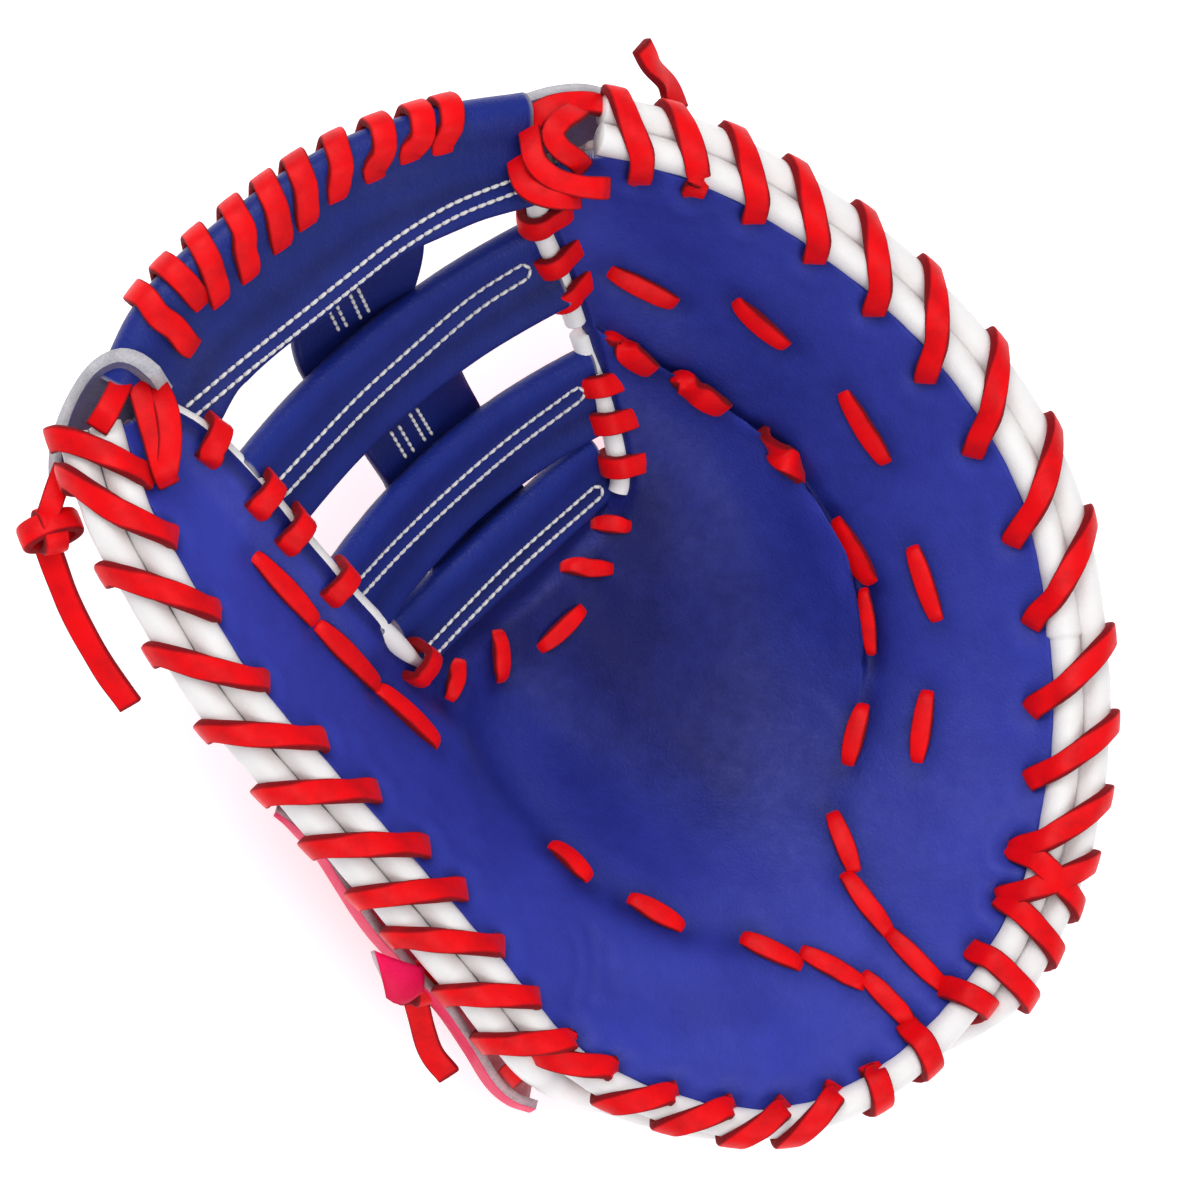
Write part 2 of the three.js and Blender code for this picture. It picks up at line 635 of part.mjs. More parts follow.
// Shells
const palmShares = [0, 0.1, 0.2, 0.3, 0.4, 0.5, 0.58, 0.68, 0.8, 1];
const rowCount = 34;
const palmRows = range(endTrim, lastSection - tipTrim, rowCount);
const palmUpper = palmRows.map((t) => palmShares.map((share) => palmFace(t, share)));
const palmLower = palmRows.map((t) => palmShares.map((share) => (
  palmFace(t, share).addScaledVector(wallNormal(palmFace, t, share), -palmWall))));
addPiece('palm_shell', cutBy(wallBetween(palmUpper, palmLower), laceHoles), 'palm');

const backShares = (t) => backStations.map(({ inset, share }) => Math.min(inset / palmReach(t), share));
const backGrid = (depth) => palmRows.map((t) => [
  backLip(t, depth),
  ...backShares(t).map((share) => backFace(t, share).addScaledVector(wallNormal(backFace, t, share), depth)),
]);
const backLeather = wallBetween(backGrid(backWall), backGrid(0));
const backRoom = wallBetween(backGrid(backWall), backGrid(-3 * clearance));
addPiece('back_shell', cutBy(backLeather, [...laceHoles, ...cornerRooms, tipRoom]), 'back');

// Bindings
const rollRows = palmRows.map((t) => clamp(t, 2 * endTrim, lastSection - 2 * endTrim));
const palmRoll = rollRows.map((t) => rim(t).addScaledVector(outward(t), -rollRadius - clearance / 2));
addPiece('palm_binding', rollAlong(palmRoll, rollDiameter), 'binding');
const backRollPath = rollRows.map(backRoll);
addPiece('back_binding', cutBy(rollAlong(backRollPath, rollDiameter), cornerRooms), 'binding');

rimLaces.forEach((lace) => addPiece(lace.name, whipLace(lace), 'lace'));

// Bindings of the inner edges, where the web is tied in
function edgeRollPath({ from, to, steps }) {
  return range(from, to, steps).map((t) => innerEdge(t).add(new THREE.Vector3(0, 0, -palmWall)));
}

const edgeRolls = [
  { name: 'thumb_binding', from: 0.5, to: 5.5, steps: 12 },
  { name: 'pleat_binding', from: 12.9, to: 16.3, steps: 8 },
  { name: 'finger_binding', from: 16.7, to: 19.8, steps: 8 },
];
edgeRolls.forEach((roll) => addPiece(roll.name, rollAlong(edgeRollPath(roll), edgeRollDiameter), 'binding'));
const edgeRoom = edgeRolls.map((roll) => rollAlong(edgeRollPath(roll), edgeRollDiameter + 2 * clearance));

// Web
const bandPath = bandFrames();
addPiece('web_top_band', cutBy(sweep(bandPath, rolledEdge(bandWidth, bandRoll, webWall)), edgeRoom), 'palm');
const barPaths = bars.map((bar) => barFrames(bar));
bars.forEach((bar, i) => {
  addPiece(bar.name, cutBy(sweep(barPaths[i], rolledEdge(bar.width, barRoll, webWall)), edgeRoom), 'palm');
});

// Tabs tie each strip of the web to the next, passing close beneath both
function tabBetween(upper, upperWidth, lower, lowerWidth) {
  const below = -(barRoll / 2 + webWall / 2 + clearance);
  const edge = upper.centre.clone().addScaledVector(upper.side, -upperWidth / 2);
  const under = edge.clone().addScaledVector(upper.side, tabLap);
  const points = [
    under.addScaledVector(upper.up, -webWall - tabDrop),
    edge.addScaledVector(upper.up, -webWall - tabDrop),
    lower.centre.clone().addScaledVector(lower.side, lowerWidth / 2).addScaledVector(lower.up, below),
    lower.centre.clone().addScaledVector(lower.side, lowerWidth / 2 - tabLap).addScaledVector(lower.up, below),
  ];
  return sweep(framesAlong(points, (_, i) => (i < 2 ? upper.up : lower.up)), flatLace(tabWidth, webWall));
}

const widths = [bandWidth, ...bars.map((bar) => bar.width)];
const tabPlaces = { band: 9, bar: 4 };
const strips = [bandPath[tabPlaces.band], ...barPaths.map((path) => path[tabPlaces.bar])];
['web_tab_outer', 'web_tab_middle', 'web_tab_inner'].forEach((name, i) => {
  addPiece(name, tabBetween(strips[i], widths[i], strips[i + 1], widths[i + 1]), 'palm');
});

// Wrist strap: a band on the outside of the back, from the thumb side round under the wrist mouth
const strapRows = palmRows.filter((t) => t >= strapEnds.from && t <= strapEnds.to);
const strapFace = (depth) => strapRows.map((t) => backShares(t).slice(...strapLines).map((share) => (
  backFace(t, share).addScaledVector(faceNormal(backFace, t, share), -depth))));
const strapBody = wallBetween(strapFace(strapGap), strapFace(strapGap + strapWall));
addPiece('wrist_strap', cutBy(strapBody, [backLeather, backRoom, ...cornerRooms]), 'back');

// Knots and free ends of lace, in hundredths of the width, length and height: each knot with its half sizes,
// and the tail that hangs from it
const knotSize = { wide: 8.5, deep: 6.2, high: 5 };
const knots = [
  {
    name: 'thumb_knot',
    knot: { x: -51.35, y: 3.4, z: 86.7 },
    tail: [{ x: -51.6, y: 2.4, z: 83 }, { x: -49.4, y: -3, z: 80 }, { x: -46.6, y: -7.8, z: 76.5 },
      { x: -44, y: -11.2, z: 73 }],
  },
  {
    name: 'strap_knot',
    knot: { x: -16.6, y: -35.3, z: 43.2 },
    tail: [{ x: -17, y: -36.6, z: 40 }, { x: -15.2, y: -41.2, z: 31 }, { x: -13.2, y: -43.6, z: 27.5 }],
  },
];

function placeOf({ x, y, z }) {
  return new THREE.Vector3((x * mittWidth) / 100, (y * mittLength) / 100, (z * mittHeight) / 100);
}

function tailOf(points) {
  const centre = new THREE.Vector3(0, 0, 0);
  return sweep(framesAlong(points, (point) => point.clone().sub(centre)), flatLace(laceWidth, laceThickness));
}

knots.forEach(({ name, knot, tail }) => {
  const lump = new THREE.SphereGeometry(1, 8, 6);
  lump.scale(knotSize.wide, knotSize.deep, knotSize.high);
  const at = placeOf(knot);
  lump.translate(at.x, at.y, at.z);
  const joined = solidOf(lump).add(solidOf(tailOf(tail.map(placeOf))));
  addPiece(name, geometryOf(joined), 'lace');
});

// The free end that rises behind the finger tip
const tipTail = [{ x: 5.2, y: 43.15, z: 84.3 }, { x: 3.9, y: 45.2, z: 88 }, { x: 2.2, y: 46.4, z: 92 },
  { x: 1, y: 47.9, z: 95 }];
addPiece('tip_tail', tailOf(tipTail.map(placeOf)), 'lace');

// The mitt rests on the ground plane, with its origin under the middle of its outline
const outline = new THREE.Box3().setFromObject(mitt);
const middle = outline.getCenter(new THREE.Vector3());
mitt.position.set(-middle.x, -middle.y, -outline.min.z);

export default mitt;
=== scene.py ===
"""A first baseman mitt for the left hand, resting on its back with the pocket up.

Places are worked out in the millimetres of the mitt's pattern, and turned into the frame's metres when a
mesh is made.
"""
import logging
import math
from collections.abc import Callable, Sequence
from dataclasses import dataclass, field
from enum import Enum

import bpy
import numpy as np
from mathutils import Matrix, Vector, noise
from mathutils.bvhtree import BVHTree


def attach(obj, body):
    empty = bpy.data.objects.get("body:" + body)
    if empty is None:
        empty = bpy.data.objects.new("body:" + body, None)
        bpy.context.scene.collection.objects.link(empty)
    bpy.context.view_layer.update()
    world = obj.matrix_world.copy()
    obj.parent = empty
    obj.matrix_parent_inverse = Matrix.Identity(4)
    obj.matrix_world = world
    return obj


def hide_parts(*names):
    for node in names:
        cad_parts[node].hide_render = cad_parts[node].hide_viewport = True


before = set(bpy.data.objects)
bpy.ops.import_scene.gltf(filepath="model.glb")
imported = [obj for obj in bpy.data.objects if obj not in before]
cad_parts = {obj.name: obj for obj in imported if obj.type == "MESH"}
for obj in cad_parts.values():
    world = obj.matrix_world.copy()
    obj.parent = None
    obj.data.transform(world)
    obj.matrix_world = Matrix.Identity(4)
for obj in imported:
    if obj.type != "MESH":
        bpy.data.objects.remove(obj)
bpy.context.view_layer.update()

LOG = logging.getLogger("mitt")
MILLIMETRE = 0.001
# Where the zero of the pattern lies in the frame, in millimetres
PATTERN_ZERO = np.array([6.5116, 3.3347, 0.0])
UPRIGHT = np.array([0.0, 0.0, 1.0])
LEVEL = np.array([1.0, 1.0, 0.0])
# How many parts a curve has between two of its points
CURVE_PARTS = 12
# A small step along the sections, to find a curve's way
STEP = 0.02


class Slot(Enum):
    """The record's material slots."""

    PALM = "palm_leather"
    BACK = "back_leather"
    BINDING = "binding_leather"
    LACE = "lace_leather"


# Numbers along curves


def smooth(value: np.ndarray, low: float, high: float) -> np.ndarray:
    """Rises smoothly from 0 to 1 between two values.

    Args:
        value: Where to read the rise.
        low: The value where it is still 0.
        high: The value where it is 1.

    Returns:
        The rise at each value.
    """
    share = np.clip((value - low) / (high - low), 0.0, 1.0)
    return share * share * (3.0 - 2.0 * share)


def unit(vectors: np.ndarray) -> np.ndarray:
    """Vectors at a length of one."""
    return vectors / np.maximum(np.linalg.norm(vectors, axis=-1, keepdims=True), 1e-9)


def dot(a: np.ndarray, b: np.ndarray) -> np.ndarray:
    """The scalar product of two arrays of vectors, kept as a column."""
    return (a * b).sum(axis=-1, keepdims=True)


def bell(away: np.ndarray, width: float) -> np.ndarray:
    """A soft hump of height one, by how far away its middle is."""
    return np.exp(-((away / width) ** 2))


def run_along(points: np.ndarray) -> np.ndarray:
    """How far along a line each of its points lies."""
    return np.concatenate([[0.0], np.cumsum(np.linalg.norm(np.diff(points, axis=0), axis=1))])


def face_normals(grid: np.ndarray) -> np.ndarray:
    """The normals of a grid of points."""
    return unit(np.cross(np.gradient(grid, axis=0), np.gradient(grid, axis=1)))


def hermite(b: np.ndarray, c: np.ndarray, slope_b: np.ndarray, slope_c: np.ndarray,
            f: np.ndarray) -> np.ndarray:
    """A cubic between two values with given slopes.

    Args:
        b: The value at the start.
        c: The value at the end.
        slope_b: The slope at the start.
        slope_c: The slope at the end.
        f: How far between the two, from 0 to 1.

    Returns:
        The value there.
    """
    f2 = f * f
    f3 = f2 * f
    bent = (f3 - 2 * f2 + f) * slope_b
    return (2 * f3 - 3 * f2 + 1) * b + bent + (3 * f2 - 2 * f3) * c + (f3 - f2) * slope_c


def curve_through(places: np.ndarray, heights: np.ndarray, at: np.ndarray) -> np.ndarray:
    """A smooth curve through four heights.

    Args:
        places: Where the heights stand, four in the last axis.
        heights: The heights, four in the last axis.
        at: Where to read the curve.

    Returns:
        The height at each place.
    """
    slopes = np.empty_like(heights)
    slopes[..., 0] = (heights[..., 1] - heights[..., 0]) / (places[..., 1] - places[..., 0])
    slopes[..., 3] = (heights[..., 3] - heights[..., 2]) / (places[..., 3] - places[..., 2])
    slopes[..., 1:3] = (heights[..., 2:] - heights[..., :2]) / (places[..., 2:] - places[..., :2])
    first = (at > places[..., 1]).astype(int) + (at > places[..., 2]).astype(int)

    def pick(values: np.ndarray, step: int) -> np.ndarray:
        """The value at the start or end of the stretch."""
        return np.take_along_axis(values, (first + step)[..., None], axis=-1)[..., 0]

    run = pick(places, 1) - pick(places, 0)
    share = (at - pick(places, 0)) / run
    return hermite(pick(heights, 0), pick(heights, 1), pick(slopes, 0) * run, pick(slopes, 1) * run, share)


def through(points: np.ndarray, step: float) -> np.ndarray:
    """A smooth curve through points, with stations at an even distance.

    Args:
        points: Rows of numbers, the first three of them a place.
        step: The distance between stations.

    Returns:
        The same columns at each station.
    """
    points = np.asarray(points, float)
    padded = np.vstack([2 * points[0] - points[1], points, 2 * points[-1] - points[-2]])
    slopes = (padded[2:] - padded[:-2]) / 2
    shares = np.linspace(0.0, 1.0, CURVE_PARTS, endpoint=False)[:, None]
    dense = [hermite(start, end, leaving, coming, shares)
             for start, end, leaving, coming in zip(points, points[1:], slopes, slopes[1:])]
    curve = np.vstack([*dense, points[-1:]])
    run = run_along(curve[:, :3])
    stations = np.linspace(0.0, run[-1], max(int(round(run[-1] / step)), 3) + 1)
    return np.stack([np.interp(stations, run, values) for values in curve.T], axis=1)


def polyline_distance(points: np.ndarray, line: np.ndarray) -> np.ndarray:
    """How far points are from a line of straight stretches.

    Args:
        points: The points.
        line: The corners of the line.

    Returns:
        The distance of each point.
    """
    nearest = np.full(points.shape[:-1], np.inf)
    for start, end in zip(line[:-1], line[1:]):
        way = end - start
        along = np.clip(((points - start) @ way) / max(way @ way, 1e-9), 0.0, 1.0)
        nearest = np.minimum(nearest, np.linalg.norm(points - start - along[..., None] * way, axis=-1))
    return nearest


def waves(points: np.ndarray, size: float, seed: float = 0.0) -> np.ndarray:
    """Soft unevenness, the same on every run.

    Args:
        points: The points, in millimetres.
        size: The size of the unevenness.
        seed: Which unevenness it is.

    Returns:
        A number from about -1 to 1 at each point.
    """
    flat = points.reshape(-1, 3) / size + seed
    return np.array([noise.noise(Vector(point)) for point in flat]).reshape(points.shape[:-1])


# The pattern


SECTION_KEYS = ("rim_x", "rim_y", "rim_z", "edge_x", "edge_y", "edge_z",
                "shoulder", "shoulder_z", "floor", "floor_z", "stall")
# From the thumb tip round the heel to the finger tip, in hundredths of the width, length and height
SECTIONS = np.array([
    (-48.4, 11.9, 98, -42.2, 13.8, 98, 0.3, 98, 0.7, 98, 3),
    (-45.7, 4.2, 97, -38.1, 11.9, 93, 0.3, 94, 0.7, 92, 12),
    (-41.5, -2.9, 92, -33.7, 8.2, 87, 0.3, 88, 0.7, 85, 19),
    (-36.1, -10.9, 87, -29.2, 3.9, 78, 0.3, 82, 0.7, 76, 23),
    (-29.2, -18, 78, -23.7, -1.2, 67, 0.3, 72, 0.7, 65, 27),
    (-21.7, -25.5, 68, -17.9, -5.4, 52, 0.3, 63, 0.7, 53, 33),
    (-12.9, -34.4, 57, -14.6, -6.1, 42, 0.3, 55, 0.7, 47, 42),
    (-4, -43.6, 47, -11.4, -3.7, 37, 0.35, 48, 0.8, 32, 50),
    (6.6, -48.5, 42, -8.4, -0.9, 34, 0.35, 44, 0.8, 27, 50),
    (18.1, -49.8, 40, -5.5, 1.6, 33, 0.3, 42, 0.7, 25, 50),
    (28.6, -45.5, 42, -2.5, 4.5, 33, 0.3, 39, 0.65, 24, 50),
    (37.1, -37.2, 46, 0.4, 7.2, 33, 0.3, 38, 0.65, 24, 50),
    (42.7, -27, 50, 2.5, 9.8, 34, 0.3, 40, 0.65, 25, 50),
    (45.6, -14.9, 53, 3.3, 12.3, 37, 0.3, 42, 0.65, 28, 46),
    (45.3, -2.7, 57, 2.4, 15.8, 42, 0.3, 47, 0.65, 33, 42),
    (42.2, 10.3, 62, 0.8, 19.7, 47, 0.3, 53, 0.65, 42, 37),
    (35.4, 20.6, 69, -1.1, 23.4, 53, 0.3, 62, 0.65, 52, 32),
    (26.6, 28.5, 77, -3.3, 27, 63, 0.3, 71, 0.65, 62, 27),
    (16.4, 34.7, 85, -5.5, 30.2, 73, 0.3, 80, 0.65, 72, 21),
    (6.5, 38.5, 93, -7.6, 33.2, 83, 0.3, 89, 0.65, 83, 13),
    (-3.3, 40.3, 98, -7.9, 36.6, 95, 0.3, 98, 0.65, 96, 3),
])
LAST = len(SECTIONS) - 1
# The fold in the palm: section, share of the way in, and how much of the fold's height it has there
PLEAT = np.array([
    (12.2, 0.4, 0.0), (13.0, 0.41, 0.6), (14.0, 0.45, 1.0), (15.0, 0.57, 1.0),
    (15.5, 0.71, 1.0), (16.0, 0.87, 0.8), (16.5, 1.0, 0.4),
])


@dataclass(frozen=True)
class Pattern:
    """The mitt's pattern, with the same named sizes as its solids, in millimetres."""

    width: float = 290.0
    length: float = 290.0
    height: float = 120.0
    clearance: float = 0.3
    palm_wall: float = 3.0
    back_wall: float = 2.4
    strap_wall: float = 2.4
    strap_gap: float = 1.5
    web_wall: float = 3.0
    flange_gap: float = 0.8
    flange_width: float = 12.0
    roll: float = 4.0
    roll_drop: float = 1.4
    edge_roll: float = 3.5
    lip_height: float = 9.0
    lip_run: float = 80.0
    strap_width: float = 24.0
    strap_inset: float = 20.0
    mouth_opens: float = 6.6
    mouth_opened: float = 7.8
    mouth_closing: float = 10.1
    mouth_closed: float = 11.2
    pleat_height: float = 4.6
    end_trim: float = 0.15

    # The fold's lip past its edge: where it rises, and where, how far and how sharply it fades
    lip_rise = (-0.6, 2.2)
    lip_fade = (4.0, 17.0, 1.3)
    # The dip before the lip: its share of the lip's height, its place and its width
    lip_dip = (-0.32, -2.2, 2.6)
    # Where the wrist strap needs room: its first and last sections, each with the end of its slope
    strap_room = (4.4, 5.0, 12.0, 12.8)

    @property
    def sizes(self) -> np.ndarray:
        """Width, length and height."""
        return np.array([self.width, self.length, self.height])

    @property
    def rim_seat(self) -> float:
        """How far in from the seam the palm leather begins."""
        return 2 * self.roll + 2 * self.clearance

    def column(self, key: str, t: np.ndarray) -> np.ndarray:
        """Reads a column of the section table on a smooth curve.

        Args:
            key: The column's name.
            t: The sections to read it at.

        Returns:
            The value at each section.
        """
        t = np.asarray(t, float)
        i = np.clip(np.floor(t), 0, LAST - 1).astype(int)
        values = SECTIONS[:, SECTION_KEYS.index(key)]
        a, b, c, d = (values[np.clip(i + step, 0, LAST)] for step in (-1, 0, 1, 2))
        return hermite(b, c, (c - a) / 2, (d - b) / 2, t - i)

    def place(self, keys: tuple[str, str, str], t: np.ndarray) -> np.ndarray:
        """A point from three columns of the section table, in millimetres."""
        return np.stack([self.column(key, t) for key in keys], axis=-1) * self.sizes / 100

    def sections(self, count: int) -> np.ndarray:
        """Even sections from tip to tip, where the leather begins and ends."""
        return np.linspace(self.end_trim, LAST - 1.3 * self.end_trim, count)

    def rim(self, t: np.ndarray) -> np.ndarray:
        """The seam between the two rolled bindings at a section."""
        return self.place(("rim_x", "rim_y", "rim_z"), t)

    def inner_edge(self, t: np.ndarray) -> np.ndarray:
        """The inner edge of the palm at a section, where the web is tied in."""
        return self.place(("edge_x", "edge_y", "edge_z"), t)

    def way(self, curve: Callable[[np.ndarray], np.ndarray], t: np.ndarray) -> np.ndarray:
        """The way along a curve of the pattern at a section."""
        return unit(curve(np.minimum(t + STEP, LAST)) - curve(np.maximum(t - STEP, 0)))

    def outward(self, t: np.ndarray) -> np.ndarray:
        """The level way out of the rim at a section."""
        way = self.way(self.rim, t)
        return unit(np.stack([way[..., 1], -way[..., 0], np.zeros_like(way[..., 0])], axis=-1))

    def inward(self, t: np.ndarray) -> np.ndarray:
        """The level way from the rim to the inner edge at a section."""
        return unit((self.inner_edge(t) - self.rim(t)) * LEVEL)

    def facing(self, t: np.ndarray) -> np.ndarray:
        """How squarely a section leaves the rim."""
        return np.clip(-dot(self.outward(t), self.inward(t))[..., 0], 0.4, 1.0)

    def mouth_open(self, t: np.ndarray) -> np.ndarray:
        """How far the wrist mouth is open at a section, from 0 to 1."""
        opening = smooth(t, self.mouth_opens, self.mouth_opened)
        return opening * (1 - smooth(t, self.mouth_closing, self.mouth_closed))

    def span(self, t: np.ndarray) -> tuple[np.ndarray, np.ndarray]:
        """Where the palm leather begins and ends at a section."""
        edge_seat = self.edge_roll + 3 * self.clearance
        start = self.rim(t) - self.outward(t) * self.rim_seat
        return start, self.inner_edge(t) - self.inward(t) * edge_seat

    def reach(self, t: np.ndarray) -> np.ndarray:
        """How wide the palm leather is at a section."""
        start, end = self.span(t)
        return np.linalg.norm((end - start)[..., :2], axis=-1)

    def palm_plain(self, t: np.ndarray, share: np.ndarray) -> np.ndarray:
        """The palm's upper face without its fold.

        Args:
            t: The sections.
            share: How far in from the rim, from 0 to 1.

        Returns:
            The points.
        """
        t, share = np.broadcast_arrays(np.asarray(t, float), np.asarray(share, float))
        start, end = self.span(t)
        point = start + (end - start) * share[..., None]
        places = np.stack([np.zeros_like(t), self.column("shoulder", t), self.column("floor", t),
                           np.ones_like(t)], axis=-1)
        keys = ("rim_z", "shoulder_z", "floor_z", "edge_z")
        heights = np.stack([self.column(key, t) for key in keys], axis=-1) * self.height / 100
        point[..., 2] = curve_through(places, heights, share)
        return point

    def pleat_past(self, t: np.ndarray, share: np.ndarray) -> np.ndarray:
        """How far a point of the palm lies past the fold, in millimetres, towards the pocket."""
        return (share - np.interp(t, PLEAT[:, 0], PLEAT[:, 1])) * self.reach(t)

    def palm_face(self, t: np.ndarray, share: np.ndarray) -> np.ndarray:
        """The palm's upper face with its fold: a rounded lip that stands over the finger panel.

        Args:
            t: The sections.
            share: How far in from the rim, from 0 to 1.

        Returns:
            The points.
        """
        t, share = np.broadcast_arrays(np.asarray(t, float), np.asarray(share, float))
        point = self.palm_plain(t, share)
        past = self.pleat_past(t, share)
        part = np.interp(t, PLEAT[:, 0], PLEAT[:, 2])
        top, run, power = self.lip_fade
        lip = smooth(past, *self.lip_rise) * np.exp(-(np.maximum(past - top, 0) / run) ** power)
        depth, middle, width = self.lip_dip
        dip = depth * bell(past - middle, width)
        point[..., 2] += self.pleat_height * part * (lip + dip)
        return point

    def wall_normal(self, t: np.ndarray, share: np.ndarray) -> np.ndarray:
        """Square to the palm's plain face, but upright where it butts against a roll."""
        plain = self.palm_plain
        along = plain(np.minimum(t + STEP, LAST), share) - plain(np.maximum(t - STEP, 0), share)
        across = plain(t, np.minimum(share + STEP, 1)) - plain(t, np.maximum(share - STEP, 0))
        normal = unit(np.cross(along, across))
        out, into = self.outward(t), self.inward(t)
        normal = normal - out * dot(normal, out) * (1 - smooth(share, 0, 0.15))[..., None]
        return unit(normal - into * dot(normal, into) * smooth(share, 0.85, 1)[..., None])

    def palm_roll(self, t: np.ndarray) -> np.ndarray:
        """The middle of the palm's rolled binding."""
        return self.rim(t) - self.outward(t) * (self.roll + self.clearance / 2)

    def back_shift(self, t: np.ndarray) -> np.ndarray:
        """How far the back leaves the rim where the wrist mouth opens."""
        opened = self.mouth_open(t)[..., None]
        closed = self.rim(t)[..., 2:] - self.roll_drop
        lowered = self.lip_height + self.back_wall + self.clearance + self.roll - closed
        return -self.outward(t) * 2 * self.roll * opened + UPRIGHT * lowered * opened

    def back_roll(self, t: np.ndarray) -> np.ndarray:
        """The middle of the back's rolled binding."""
        centre = self.rim(t) + self.outward(t) * (self.roll + self.clearance / 2) - UPRIGHT * self.roll_drop
        return centre + self.back_shift(t)

    def flange_share(self, t: np.ndarray) -> np.ndarray:
        """How far in the back lies flat under the palm, as a share of the way."""
        reach = self.reach(t)
        return np.minimum(self.flange_width / self.facing(t), 0.45 * reach) / reach

    def back_face(self, t: np.ndarray, share: np.ndarray) -> np.ndarray:
        """The back's outer face: close under the palm at the rim, then swelling to hold the hand.

        Args:
            t: The sections.
            share: How far in from the rim, from 0 to 1.

        Returns:
            The points.
        """
        t, share = np.broadcast_arrays(np.asarray(t, float), np.asarray(share, float))
        under = self.palm_wall + self.flange_gap + self.back_wall
        below = self.palm_plain(t, share) - self.wall_normal(t, share) * under
        reach = self.reach(t)
        inset = share * reach
        flange = self.flange_share(t) * reach
        into = np.clip((inset - flange) / (reach - flange), 0, 1)
        swell = self.column("stall", t) * self.height / 100 * np.power(4 * into * (1 - into), 0.6)
        lip = self.lip_height * np.power(np.clip(1 - inset / self.lip_run, 0, 1), 1.5)
        opened = self.mouth_open(t) * (1 - smooth(share, 0.3, 0.55))
        strap_zone = smooth(t, *self.strap_room[:2]) * (1 - smooth(t, *self.strap_room[2:]))
        end = self.strap_inset + self.strap_width
        room = (self.strap_wall + self.strap_gap + self.clearance) * strap_zone
        room = room * (1 - smooth(inset, end + 2, end + 14))
        under_roll = self.roll_drop * (1 - smooth(inset, 0, self.flange_width))
        closed = below[..., 2] - swell - under_roll
        below[..., 2] = np.maximum(closed + (lip - closed) * opened, room)
        return below

    def back_lip(self, t: np.ndarray) -> np.ndarray:
        """The edge of the back's outer face, below its rolled binding."""
        way = self.way(self.back_roll, t)
        up = unit(UPRIGHT - way * way[..., 2:])
        return self.back_roll(t) - up * (self.roll + 2 * self.clearance + self.back_wall)


# The camera's view, and faces found through it


class PhotoView:
    """The camera at the photograph's angle, for an image of 1200 by 1200."""

    def __init__(self, distance: float = 1100.0, tilt: float = 13.0, toward: float = 217.0,
                 scale: float = 0.27, height: float = 60.0, side: int = 1200) -> None:
        """Works out the camera's axes.

        Args:
            distance: How high the eye would be without the tilt, in millimetres.
            tilt: How far the view leans from straight down, in degrees.
            toward: The way it leans, in degrees from +X.
            scale: Millimetres to a pixel at the middle height.
            height: The middle height.
            side: The width of the image in pixels.
        """
        lean = Vector((math.cos(math.radians(toward)), math.sin(math.radians(toward)), 0.0))
        turn = Matrix.Rotation(math.radians(tilt), 3, Vector((0, 0, 1)).cross(lean))
        self.turn = turn
        axes = np.array(turn)
        self.right, self.up, self.back = axes[:, 0], axes[:, 1], axes[:, 2]
        self.eye = np.array([0.0, 0.0, height]) + self.back * (distance - height)
        self.focal = (distance - height) / scale
        self.side = side

    def pixel(self, points: np.ndarray) -> np.ndarray:
        """Where points show in the image."""
        away = np.asarray(points, float) - self.eye
        depth = -(away @ self.back)
        half = self.side / 2
        return np.stack([half + self.focal * (away @ self.right) / depth,
                         half - self.focal * (away @ self.up) / depth], axis=-1)

    def ray(self, spot: tuple[float, float]) -> np.ndarray:
        """The way from the eye through a spot of the image."""
        half = self.side / 2
        return unit(self.right * (spot[0] - half) + self.up * (half - spot[1]) - self.back * self.focal)

    def at_height(self, spot: tuple[float, float], z: float) -> np.ndarray:
        """The point at a height that shows at a spot of the image."""
        ray = self.ray(spot)
        return self.eye + ray * ((z - self.eye[2]) / ray[2])

    def places(self, rows: tuple[tuple[float, float, float], ...]) -> np.ndarray:
        """Places given by spots of the image and their heights in millimetres."""
        return np.array([self.at_height((x, y), z) for x, y, z in rows])

    def camera(self) -> None:
        """Makes the scene's camera."""
        data = bpy.data.cameras.new("camera")
        data.sensor_width = 36.0
        data.lens = self.focal / self.side * data.sensor_width
        data.clip_end = 20.0
        camera = bpy.data.objects.new("camera", data)
        bpy.context.scene.collection.objects.link(camera)
        camera.matrix_world = Matrix.Translation((self.eye + PATTERN_ZERO) * MILLIMETRE) @ self.turn.to_4x4()
        bpy.context.scene.camera = camera


